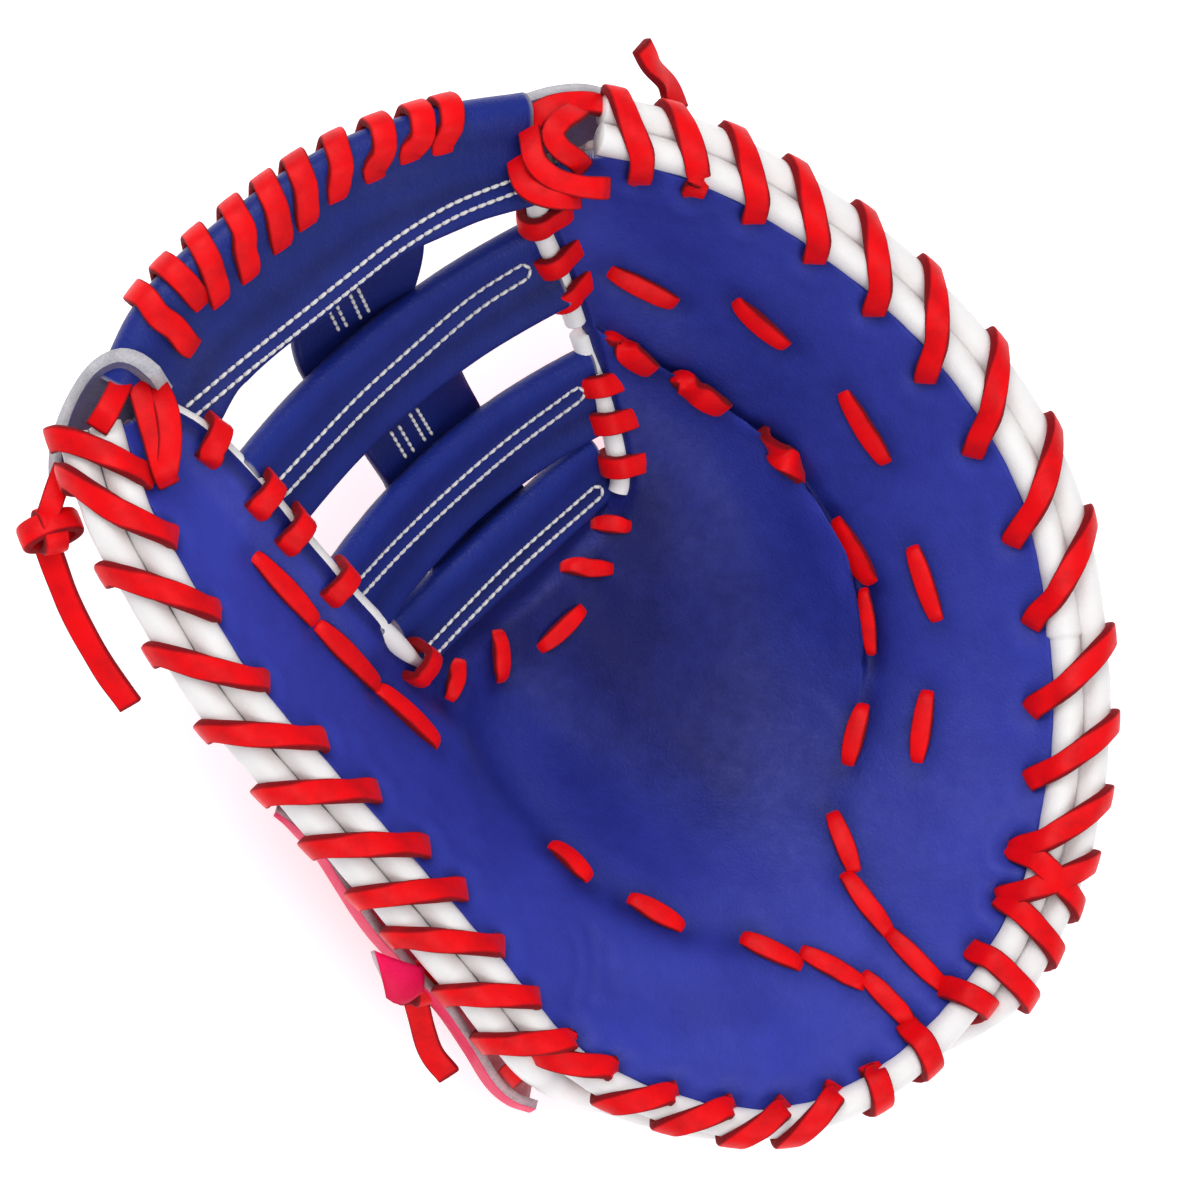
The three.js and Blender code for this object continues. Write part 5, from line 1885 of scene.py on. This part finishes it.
    def strip(self, name: str, node: str, path: np.ndarray, slope: float, width: float,
              roll_size: float) -> None:
        """Makes one strip of the web.

        Args:
            name: The piece's name.
            node: The node that it replaces.
            path: The strip's middle line.
            slope: How far the strip leans, in degrees.
            width: The strip's width.
            roll_size: The diameter of its rolled edge.
        """
        sides, ups = self.frames(path, slope)
        outline = self.section(width, roll_size)
        grid = path[:, None] + sides[:, None] * outline[None, :, :1] + ups[:, None] * outline[None, :, 1:]
        across = np.broadcast_to(outline[:, 0], grid.shape[:2])
        stations = np.linspace(0, 1, len(path))
        wider = np.interp(stations, *self.flap) if node == "web_top_band" else np.zeros(len(path))
        flap = np.clip((width / 2 - roll_size - across) / (width - roll_size), 0, 1)
        grid = grid - sides[:, None] * (flap * wider[:, None])[..., None]
        above = np.broadcast_to(outline[:, 1], grid.shape[:2])
        rolled = smooth(across, width / 2 - 1.3 * roll_size, width / 2 - roll_size / 2)
        lift = 0.32 * waves(grid, 14.0, width) + 0.5 * waves(grid * [1, 1, 0.4], 34.0, width)
        wrinkle = waves(grid, 4.2, slope) * 0.14 * rolled
        grid = grid + ups[:, None] * (lift * (1 - 0.55 * rolled) + wrinkle * np.sign(above))[..., None]
        groove = bell(across + width * 0.22, 2.2) * (above > 0)
        grid = grid - ups[:, None] * (0.45 * groove)[..., None]
        # Painted shade in the stitch groove and on the strip's lower face, and a painted highlight along the
        # top of its rolled edge
        shade_and_tone = 0.3 + 0.35 * groove - 0.3 * rolled * (above > 0) + 0.5 * (above < 0)
        whole = capped(grid, path)
        flesh = np.zeros(whole.shape[:2])
        flesh[:2] = flesh[-2:] = 1.0
        values = {key: np.pad(grid_values, ((1, 1), (0, 0)), mode="edge")
                  for key, grid_values in (("shade_and_tone", np.clip(shade_and_tone, -0.2, 1.0)), ("worn", rolled))}
        piece = shaped_grid(name, whole, True, {**values, "flesh": flesh})
        self.faces.append(Faces(grid))
        self.strips.append((path, sides, ups, width))
        kept(dressed(piece, self.finishes.web), Slot.PALM, node)

    def bar_path(self, thumb_at: float, finger_at: float, shift: float, bow: float, sag: float) -> np.ndarray:
        """The middle line of a bar.

        Args:
            thumb_at: Its section at the thumb.
            finger_at: Its section at the fingers.
            shift: How far it is moved out of the web.
            bow: How far it bows out.
            sag: How far it sags.

        Returns:
            The stations.
        """
        ends = self.pattern.inner_edge(np.array([thumb_at, finger_at]))
        way = ends[1] - ends[0]
        out = unit(np.array([-way[1], way[0], 0.0]))
        middle = ends.mean(axis=0) + out * 2 * bow - UPRIGHT * 2 * sag
        f = np.linspace(0, 1, 110)[:, None]
        curve = (1 - f) ** 2 * ends[0] + 2 * f * (1 - f) * middle + f * f * ends[1]
        return curve - UPRIGHT * self.pattern.palm_wall + out * shift

    def tab(self, name: str, node: str, upper: int, lower: int, at: tuple[float, float]) -> None:
        """Makes a tab that passes beneath two strips and ties them.

        Args:
            name: The piece's name.
            node: The node that it replaces.
            upper: The upper strip.
            lower: The lower strip.
            at: How far along each strip it lies, from 0 to 1.
        """
        path_a, side_a, up_a, width_a = self.strips[upper]
        path_b, side_b, up_b, width_b = self.strips[lower]
        i, j = round(at[0] * (len(path_a) - 1)), round(at[1] * (len(path_b) - 1))
        below = -(self.bar_roll / 2 + self.pattern.web_wall / 2 + self.pattern.clearance)
        edge = path_a[i] - side_a[i] * width_a / 2
        under = up_a[i] * (self.pattern.web_wall + self.tab_drop)
        top = path_b[j] + side_b[j] * width_b / 2 + up_b[j] * below
        points = np.array([edge + side_a[i] * self.tab_lap - under, edge - under,
                           top, top - side_b[j] * self.tab_lap])
        rows = through(np.column_stack([points, [up_a[i], up_a[i], up_b[j], up_b[j]]]), 1.2)
        half, w = self.tab_width / 2, self.pattern.web_wall / 2
        across = np.linspace(-half, half, 26)
        outline = np.array([(s, w) for s in across[::-1]] + [(-half - 0.25, 0.0)] + [(s, -w) for s in across]
                           + [(half + 0.25, 0.0), (half, w)])
        ones = np.ones(len(rows))
        grid = swept(rows[:, :3], rows[:, 3:], outline, ones, ones)
        grid = grid + UPRIGHT * (0.4 * waves(grid, 16.0, at[0]))[..., None]
        # Darker than the strips: painted shade, as the tab lies beneath them
        piece = shaped_grid(name, grid, True, {"shade_and_tone": np.full(grid.shape[:2], 0.55)})
        self.faces.append(Faces(grid[1:-1]))
        kept(dressed(piece, self.finishes.web), Slot.PALM, node)

    def whipping(self) -> None:
        """Lays the lace along the band's rolled top edge."""
        path, sides, ups, width = self.strips[0]
        top = self.view.pixel(path + sides * (width / 2))
        half, r = width / 2, self.band_roll / 2
        lift = LACE_THICKNESS / 2 + 0.2
        points, ups_there, squeeze = [], [], []

        def add(index: float, across: float, high: float, up_across: float, up_high: float,
                narrow: float = 0.0) -> None:
            """Adds a station at a place of the band's section."""
            i = int(np.clip(round(index), 0, len(path) - 1))
            points.append(path[i] + sides[i] * across + ups[i] * high)
            ups_there.append(unit(sides[i] * up_across + ups[i] * up_high))
            squeeze.append(narrow)

        overs = [int(np.argmin(np.linalg.norm(top - over, axis=-1))) for over, _ in self.whips]
        holes = []
        for _, hole in self.whips:
            place, _ = self.faces[0].seen(self.view, hole)
            i = int(np.argmin(np.linalg.norm(path - place, axis=-1)))
            holes.append((i, float((place - path[i]) @ sides[i]) + 1.6))
        wall = self.pattern.web_wall / 2
        crest = half - r - 0.2
        add(overs[0], half - 8.0, -r - lift, 0.2, -1.0)
        for number, (over, (i, across)) in enumerate(zip(overs, holes)):
            add(over, half + 0.2, -r * 0.75 - lift * 0.7, 0.7, -0.7)
            add(over, half + lift, 0.0, 1.0, 0.0)
            add(over + (i - over) * 0.12, half - r * 0.3 + lift * 0.7, r * 0.72 + lift * 0.7, 0.7, 0.75)
            add(over + (i - over) * 0.32, crest, r + lift, 0.05, 1.0)
            near = across + 2.6
            add(over + (i - over) * 0.62, (crest + near) / 2, (r + wall) / 2 + lift + 0.5, -0.35, 1.0)
            add(over + (i - over) * 0.88, near, wall + lift + 0.5, -0.3, 1.0)
            add(i, across, wall - 0.4, -0.8, 0.6, 0.12)
            add(i, across - 0.4, -wall - 1.2, -1.0, 0.0, 0.2)
            follows = overs[number + 1] if number + 1 < len(overs) else i + 4
            add(i + (follows - i) * 0.35, across + 3.0, -wall - lift - 1.0, -0.2, -1.0)
            add(i + (follows - i) * 0.75, half - 6.0, -r - lift - 0.2, 0.2, -1.0)
        lace = strap("band_whipping", np.array(points), np.array(ups_there), step=1.3, narrow=squeeze, seed=3)
        kept(dressed(lace, self.finishes.lace), Slot.LACE)

    def build(self) -> None:
        """Makes the strips, the tabs, the seams and the lace."""
        band = through(np.array(self.band_places) * self.pattern.sizes / 100, 1.25)
        self.strip("web_band", "web_top_band", band, self.band_slope, self.band_width, self.band_roll)
        for name, node, thumb_at, finger_at, width, shift, bow, sag, slope in self.bars:
            path = self.bar_path(thumb_at, finger_at, shift, bow, sag)
            self.strip(name, node, path, slope, width, self.bar_roll)
        for tab in self.tabs:
            self.tab(*tab)
        tab_seams = [[Seam(row, 2.1) for row in rows] for rows in self.tab_rows]
        seams = [self.needle.sew("web_seam", faces, lines, self.finishes.thread)
                 for faces, lines in zip(self.faces, (self.band_seams, *self.bar_seams, *tab_seams))]
        kept(joined("web_seams", seams), Slot.BINDING)
        self.whipping()


@dataclass
class RunningLaces:
    """The short laces that show on the palm, each between two holes, given by spots of the image."""

    view: PhotoView
    finishes: Finishes
    width: float = 5.6

    # Places along a lace between its holes, how high it lies there, and how much it is squeezed
    along = (0.1, 0.3, 0.5, 0.7, 0.9)
    lift = (0.1, 0.85, 1.05, 0.85, 0.1)
    squeeze = (0.5, 0.24, 0.04, 0.0, 0.04, 0.24, 0.5)
    # Start and end in the image, and the lace's width as a share
    stitches = (
        ((608, 270), (678, 304), 1.0), ((735, 300), (788, 347), 1.0), ((842, 390), (888, 465), 1.0),
        ((912, 545), (938, 622), 1.0), ((928, 690), (917, 763), 1.0),
        ((832, 812), (855, 872), 1.0), ((843, 872), (890, 935), 1.0), ((887, 930), (945, 990), 1.0),
        ((551, 845), (589, 878), 1.0), ((629, 898), (683, 928), 1.0), ((741, 937), (802, 966), 1.0),
        ((800, 950), (866, 986), 1.0), ((862, 973), (914, 1026), 1.0),
        ((252, 553), (318, 625), 1.0), ((315, 622), (380, 690), 1.0), ((376, 686), (440, 747), 1.0),
        ((606, 332), (654, 372), 1.25), ((677, 376), (726, 411), 1.35), ((760, 428), (804, 482), 1.35),
        ((834, 518), (874, 584), 1.35), ((864, 588), (872, 655), 0.8), ((864, 704), (848, 765), 1.0),
        ((594, 524), (628, 526), 0.9), ((562, 567), (612, 569), 0.9), ((583, 608), (540, 649), 0.9),
        ((498, 631), (501, 681), 0.9), ((460, 661), (450, 698), 0.9),
    )

    def lines(self, faces: Faces) -> list[np.ndarray]:
        """The line of each lace on the palm.

        Args:
            faces: The palm's face.

        Returns:
            Places from hole to hole.
        """
        return [np.array([place for place, _ in self.found(faces, start, end, np.linspace(0, 1, 7))])
                for start, end, _ in self.stitches]

    def found(self, faces: Faces, start: tuple[float, float], end: tuple[float, float],
              shares: np.ndarray) -> list[tuple[np.ndarray, np.ndarray]]:
        """Places on the palm between two spots of the image, with the normals there.

        Args:
            faces: The palm's face.
            start: The first spot.
            end: The last spot.
            shares: How far between the two each place is.

        Returns:
            The places and normals.
        """
        way = np.subtract(end, start)
        return [faces.seen(self.view, tuple(start + way * share)) for share in shares]

    def build(self, faces: Faces) -> bpy.types.Object:
        """Lays the laces.

        Args:
            faces: The palm's face.

        Returns:
            The piece.
        """
        parts = []
        for number, (start, end, share) in enumerate(self.stitches):
            places, ups = np.swapaxes(self.found(faces, start, end, self.along), 0, 1)
            way = unit(places[-1] - places[0])
            middle = places + ups * np.array(self.lift)[:, None]
            first = middle[0] - way * 1.4 - ups[0] * 2.4
            last = middle[-1] + way * 1.4 - ups[-1] * 2.4
            path = np.vstack([first, middle, last])
            turned = np.vstack([ups[0] - way * 1.2, ups, ups[-1] + way * 1.2])
            parts.append(strap(f"stitch_{number}", path, turned, self.width * share, narrow=self.squeeze,
                               seed=number * 1.7))
        return kept(dressed(joined("palm_laces", parts), self.finishes.lace), Slot.LACE)


@dataclass
class WristStrap:
    """The band on the outside of the back, from the thumb side round under the wrist mouth."""

    pattern: Pattern
    finishes: Finishes
    start: float = 4.6
    end: float = 11.8
    shares: tuple[float, float] = (0.42, 0.66)

    def build(self) -> bpy.types.Object:
        """Shapes the band."""
        pattern = self.pattern
        t = np.linspace(self.start, self.end, 150)[:, None]
        reach = pattern.reach(t)
        near = np.minimum(pattern.strap_inset / reach, self.shares[0])
        far = np.minimum((pattern.strap_inset + pattern.strap_width) / reach, self.shares[1])
        share = near + (far - near) * np.linspace(0, 1, 18)
        face = pattern.back_face(t, share)
        points = face - face_normals(face) * (pattern.strap_gap + pattern.strap_wall)
        points[..., 2] = np.maximum(points[..., 2], 0.0)
        piece = shaped_grid("wrist_band", points[:, ::-1], values={"shade_and_tone": np.full(points.shape[:2], 0.45)})
        dressed(piece, self.finishes.back, self.finishes.pink_flesh)
        thickened(piece, pattern.strap_wall)
        return kept(piece, Slot.BACK, "wrist_strap")


@dataclass
class Knots:
    """The knots and free ends of the laces."""

    pattern: Pattern
    finishes: Finishes

    # Each turn round a knot: how far it reaches along and up, which way it lies, and how far it leans
    turns = (((6.9, 3.8), 20.0, 20.0), ((4.8, 3.6), 105.0, -15.0))
    # Each knot's name, its node, its middle and its free end, in hundredths of the width, length and height
    tied = (
        ("thumb_tie", "thumb_knot", (-51.35, 3.4, 86.7),
         ((-51.6, 2.4, 83), (-49.4, -3, 80), (-46.6, -7.8, 76.5), (-44, -11.2, 73))),
        ("strap_tie", "strap_knot", (-16.6, -35.3, 43.2),
         ((-17, -36.6, 40), (-15.2, -41.2, 31), (-13.2, -43.6, 27.5))),
    )
    free = ("finger_tie", "tip_tail", ((5.2, 43.15, 84.3), (3.9, 45.2, 88), (2.2, 46.4, 92), (1, 47.9, 95)))

    def places(self, rows: tuple[tuple[float, float, float], ...]) -> np.ndarray:
        """Points given in hundredths of the width, length and height."""
        return np.array(rows, float) * self.pattern.sizes / 100

    def tail(self, name: str, rows: tuple[tuple[float, float, float], ...]) -> bpy.types.Object:
        """A free end of lace.

        Args:
            name: The part's name.
            rows: Where it lies.

        Returns:
            The part.
        """
        path = self.places(rows)
        return strap(name, path, unit(path * LEVEL) * 0.45 + UPRIGHT, step=1.2, seed=len(rows))

    def loop(self, name: str, centre: np.ndarray, radii: tuple[float, float], turn: float,
             lean: float) -> bpy.types.Object:
        """A turn of lace round a knot.

        Args:
            name: The part's name.
            centre: The middle of the knot.
            radii: How far it reaches along and up.
            turn: Which way it lies from above, in degrees.
            lean: How far it leans over, in degrees.

        Returns:
            The part.
        """
        angles = np.radians(np.linspace(-100, 260, 15))
        up = np.sin(angles) * radii[1]
        flat = np.column_stack([np.cos(angles) * radii[0], up * math.sin(math.radians(lean)),
                                up * math.cos(math.radians(lean))])
        c, s = math.cos(math.radians(turn)), math.sin(math.radians(turn))
        spun = flat @ np.array([[c, s, 0], [-s, c, 0], [0, 0, 1]])
        return strap(name, centre + spun, spun, seed=turn)

    def build(self) -> None:
        """Ties the knots."""
        for name, node, centre, rows in self.tied:
            middle = self.places((centre,))[0]
            loops = [self.loop(name, middle, *turn) for turn in self.turns]
            kept(dressed(joined(name, [self.tail(name, rows), *loops]), self.finishes.lace), Slot.LACE, node)
        name, node, rows = self.free
        kept(dressed(self.tail(name, rows), self.finishes.lace), Slot.LACE, node)


def leaf(name: str, lines: tuple[np.ndarray, np.ndarray], sag: float, wall: float,
         finishes: tuple[bpy.types.Material, bpy.types.Material]) -> bpy.types.Object:
    """A small sheet of leather between two lines.

    Args:
        name: The piece's name.
        lines: Points of its first and its other edge.
        sag: How far its middle hangs below the edges, or stands above them when negative.
        wall: Its wall.
        finishes: The material of its face, and that of its cut edges and its inner face.

    Returns:
        The piece.
    """
    edges = [through(line, 1.2) for line in lines]
    shares = np.linspace(0, 1, min(len(edge) for edge in edges))
    first, last = (np.stack([np.interp(shares, np.linspace(0, 1, len(edge)), row) for row in edge.T], axis=1)
                   for edge in edges)
    across = np.linspace(0, 1, 10)
    grid = first[:, None] + (last - first)[:, None] * across[None, :, None]
    grid = grid - UPRIGHT * (sag * np.sin(across * math.pi))[None, :, None]
    # Painted shade, growing towards the second edge
    piece = shaped_grid(name, grid, values={"shade_and_tone": np.broadcast_to(0.2 + 0.6 * across, grid.shape[:2])})
    if sum(side.normal.z for side in piece.data.polygons) < 0:
        piece.data.flip_normals()
    return thickened(dressed(piece, *finishes), wall)


@dataclass
class TipTies:
    """The laces that tie the web's band to the two tips, and the band's cut ends behind them."""

    view: PhotoView
    finishes: Finishes
    wall: float = 4.0
    sag: float = 3.2

    # The band's cut end behind each tip: its outer edge, then its hidden edge
    hoods = (
        ("thumb_hood",
         ((150, 379, 127), (134, 366, 127.5), (117, 362, 126), (98, 371, 122), (83, 390, 117), (70, 418, 111),
          (62, 452, 105), (62, 482, 99)),
         ((184, 418, 110), (164, 414, 110), (150, 420, 108), (134, 434, 105), (120, 450, 101), (106, 468, 97),
          (98, 484, 93), (94, 498, 90))),
        ("finger_hood",
         ((508, 106, 114), (530, 101, 113), (556, 94, 111), (586, 92, 108.5), (612, 99, 105),
          (632, 112, 101)),
         ((505, 190, 106), (528, 182, 105), (552, 166, 103), (576, 158, 100), (598, 154, 97),
          (620, 152, 93))),
    )
    # Each tie of the thumb tip, then the strand to its knot, then the finger tip's: spots with heights
    ties = (
        ((133, 362, 113.5), (126, 372, 118), (117, 392, 121.5), (107, 412, 123.4), (97, 428, 121)),
        ((130, 366, 114), (136, 380, 118.5), (145, 408, 120.6), (155, 442, 120.6), (163, 470, 119.4),
         (168, 482, 114.5)),
        ((146, 372, 112), (155, 384, 117.5), (166, 408, 121.2), (170, 438, 121.4), (167, 466, 119.6),
         (164, 480, 114.5)),
        ((44, 528, 103), (49, 512, 107), (56, 490, 107), (64, 468, 104)),
        ((533, 150, 112), (531, 130, 116), (541, 112, 118.5), (565, 104, 119), (590, 103, 117),
         (606, 108, 112)),
        ((528, 122, 115), (531, 140, 119.4), (536, 162, 121), (553, 178, 121.4), (578, 186, 121),
         (598, 188, 119.6), (606, 188, 114.5)),
        ((583, 168, 115.5), (576, 160, 119.8), (560, 148, 122.4), (553, 134, 123.4), (561, 121, 123.2),
         (573, 113, 120.5), (580, 108, 116)),
        ((518, 152, 111), (519, 168, 115.5), (526, 186, 118), (544, 196, 119.6), (566, 199, 119.6),
         (577, 198, 114.5)),
    )

    def build(self) -> None:
        """Makes the cut ends and ties the laces."""
        for name, *edges in self.hoods:
            lines = tuple(self.view.places(rows) for rows in edges)
            piece = leaf(name, lines, self.sag, self.wall, (self.finishes.lining, self.finishes.flesh))
            kept(piece, Slot.PALM)
        parts = []
        for number, rows in enumerate(self.ties):
            path = self.view.places(rows)
            ups = unit(path - path.mean(axis=0) + UPRIGHT * 10.0) + UPRIGHT * 0.6
            parts.append(strap(f"tie_{number}", path, ups, LACE_WIDTH * 0.92, step=1.1, seed=number))
        kept(dressed(joined("tip_ties", parts), self.finishes.lace), Slot.LACE)


@dataclass
class StrapEnd:
    """The wrist strap where it comes up beside the rim: its standing edge and its keeper tongue."""

    view: PhotoView
    finishes: Finishes
    wall: float = 2.4
    # How far the tongue's middle stands above its edges
    arch: float = 1.5

    # The standing edge: spots of the image with heights
    edge = ((276, 812, 84), (296, 826, 81), (318, 846, 77), (341, 881, 73), (358, 908, 70), (377, 934, 66),
            (399, 958, 63), (422, 984, 60), (446, 1010, 57), (472, 1048, 52), (494, 1083, 48),
            (514, 1101, 46), (536, 1109, 45))
    # How far down the strap goes, and how far out it bulges there
    fall = ((0.0, 0.0), (5.0, 0.7), (10.0, 1.0), (15.0, 0.4), (20.0, -2.5), (24.0, -8.0))
    # The tongue's two edges
    tongue = (((374, 950, 71), (388, 956, 70), (406, 962, 68), (424, 967, 64)),
              ((386, 998, 67), (396, 1004, 66), (408, 1003, 64), (424, 992, 60)))

    def side(self) -> bpy.types.Object:
        """The strap that hangs from its standing edge."""
        edge = through(self.view.places(self.edge), 1.6)
        ways = unit(np.gradient(edge, axis=0))
        out = unit(np.column_stack([ways[:, 1], -ways[:, 0], np.zeros(len(ways))]))
        drops = through(np.column_stack([np.array(self.fall), np.zeros(len(self.fall))]), 1.2)
        taper = smooth(np.linspace(0, 1, len(edge)), 0.0, 0.10)[:, None]
        down = drops[None, :, :1] * (0.25 + 0.75 * taper[..., None])
        grid = edge[:, None] + out[:, None] * drops[None, :, 1:2] - UPRIGHT * down
        grid[..., 2] = np.maximum(grid[..., 2], 0.5)
        shade_and_tone = np.broadcast_to(0.25 + 0.02 * drops[:, 0], grid.shape[:2])
        piece = shaped_grid("strap_side", grid, values={"shade_and_tone": shade_and_tone})
        if sum(Vector(face.normal) @ Vector(out.mean(axis=0)) for face in piece.data.polygons) < 0:
            piece.data.flip_normals()
        return thickened(dressed(piece, self.finishes.back, self.finishes.pink_flesh), self.wall)

    def build(self) -> None:
        """Shapes the strap's end."""
        kept(self.side(), Slot.BACK)
        lines = tuple(self.view.places(rows) for rows in self.tongue)
        looks = (self.finishes.back, self.finishes.pink_flesh)
        kept(leaf("strap_tongue", lines, -self.arch, self.wall, looks), Slot.BACK)


class Studio:
    """The floor, the lights and the pale surroundings."""

    # Each lamp's name, where it hangs in metres, the side of its square face, and its power in watts
    lamps = (
        ("key", (-0.6, 0.9, 1.5), 0.9, 13.0),
        ("fill", (0.6, -1.2, 1.2), 0.9, 8.0),
        ("top", (0.1, 0.1, 1.9), 0.8, 6.0),
    )
    # Where the lamps look
    aim = (0.0, 0.0, 0.06)

    def build(self) -> None:
        """Sets the stage."""
        bpy.context.scene.view_settings.view_transform = "Standard"
        bpy.ops.object.select_all(action="DESELECT")
        bpy.ops.mesh.primitive_plane_add(size=8.0)
        floor = bpy.context.active_object
        floor.name = "floor"
        dressed(floor, Paper("pale_paper", (244, 244, 246)).material())
        world = bpy.data.worlds.new("studio")
        world.use_nodes = True
        shade = world.node_tree.nodes["Background"]
        shade.inputs["Color"].default_value = (0.95, 0.97, 1.0, 1.0)
        shade.inputs["Strength"].default_value = 0.5
        bpy.context.scene.world = world
        for lamp in self.lamps:
            self.light(*lamp)

    def light(self, name: str, place: tuple[float, float, float], size: float, power: float) -> None:
        """Adds a soft lamp that looks at the mitt.

        Args:
            name: The lamp's name.
            place: Where it hangs, in metres.
            size: The side of its square face.
            power: Its power in watts.
        """
        data = bpy.data.lights.new(name, "AREA")
        data.size = size
        data.energy = power
        lamp = bpy.data.objects.new(name, data)
        bpy.context.scene.collection.objects.link(lamp)
        away = Vector(place) - Vector(self.aim)
        lamp.matrix_world = Matrix.Translation(place) @ away.to_track_quat("Z", "Y").to_matrix().to_4x4()


# Spots of the image where each turn of a rim lace comes over the rim, and where it goes in
THUMB_TURNS = (
    ((64, 430), (152, 478)), ((72, 472), (172, 540)), ((100, 575), (215, 615)),
    ((150, 655), (265, 680)), ((207, 730), (325, 740)), ((268, 790), (378, 790)),
    ((320, 840), (428, 845)), ((372, 885), (468, 885)), ((405, 925), (503, 945)),
    ((450, 990), (530, 1000)), ((480, 1045), (560, 1050)), ((503, 1085), (607, 1078)),
    ((595, 1125), (670, 1100)), ((660, 1145), (730, 1110)), ((730, 1150), (785, 1110)),
    ((788, 1155), (840, 1100)), ((900, 1140), (870, 1070)), ((958, 1100), (905, 1022)),
    ((998, 1060), (942, 983)), ((1035, 1005), (970, 947)), ((1062, 960), (998, 898)),
    ((1085, 912), (1010, 845)),
)
FINGER_TURNS = (
    ((610, 108), (640, 183)), ((668, 114), (692, 194)), ((732, 132), (752, 222)),
    ((798, 156), (813, 261)), ((870, 200), (872, 315)), ((934, 258), (922, 381)),
    ((1000, 334), (969, 456)), ((1052, 422), (1009, 543)), ((1084, 518), (1028, 624)),
    ((1100, 635), (1028, 710)), ((1110, 720), (1028, 780)), ((1107, 795), (1012, 850)),
    ((1095, 860), (1000, 895)),
)


def main() -> None:
    """Builds the mitt's parts in order."""
    logging.basicConfig(level=logging.INFO, format="%(name)s %(message)s")
    view = PhotoView()
    view.camera()
    pattern = Pattern()
    finishes = Finishes()
    needle = Needle(view)
    t = np.linspace(0.1, LAST - 0.1, 120)[:, None]
    plain = Faces(pattern.palm_face(t, np.linspace(0, 1, 60)[None, :]))
    back = Back(pattern, finishes)
    back.build()
    laces = [RimLace(Side.THUMB, pattern, view, plain, back, THUMB_TURNS),
             RimLace(Side.FINGER, pattern, view, plain, back, FINGER_TURNS)]
    running = RunningLaces(view, finishes)
    palm = Palm(pattern, view, finishes)
    palm.build([hole for lace in laces for hole in lace.holes()], running.lines(plain))
    for lace in laces:
        lace.palm = palm.faces
        lace.build(finishes)
    RimBinding(pattern, view, finishes, laces).build()
    EdgeBindings(pattern, view, finishes).build()
    Web(pattern, view, finishes, needle).build()
    running.build(palm.faces)
    WristStrap(pattern, finishes).build()
    TipTies(view, finishes).build()
    StrapEnd(view, finishes).build()
    kept(needle.sew("palm_seams", palm.faces, palm.edge_seams, finishes.thread), Slot.BINDING)
    Knots(pattern, finishes).build()
    Studio().build()
    bpy.context.view_layer.update()


if __name__ == "__main__":
    main()
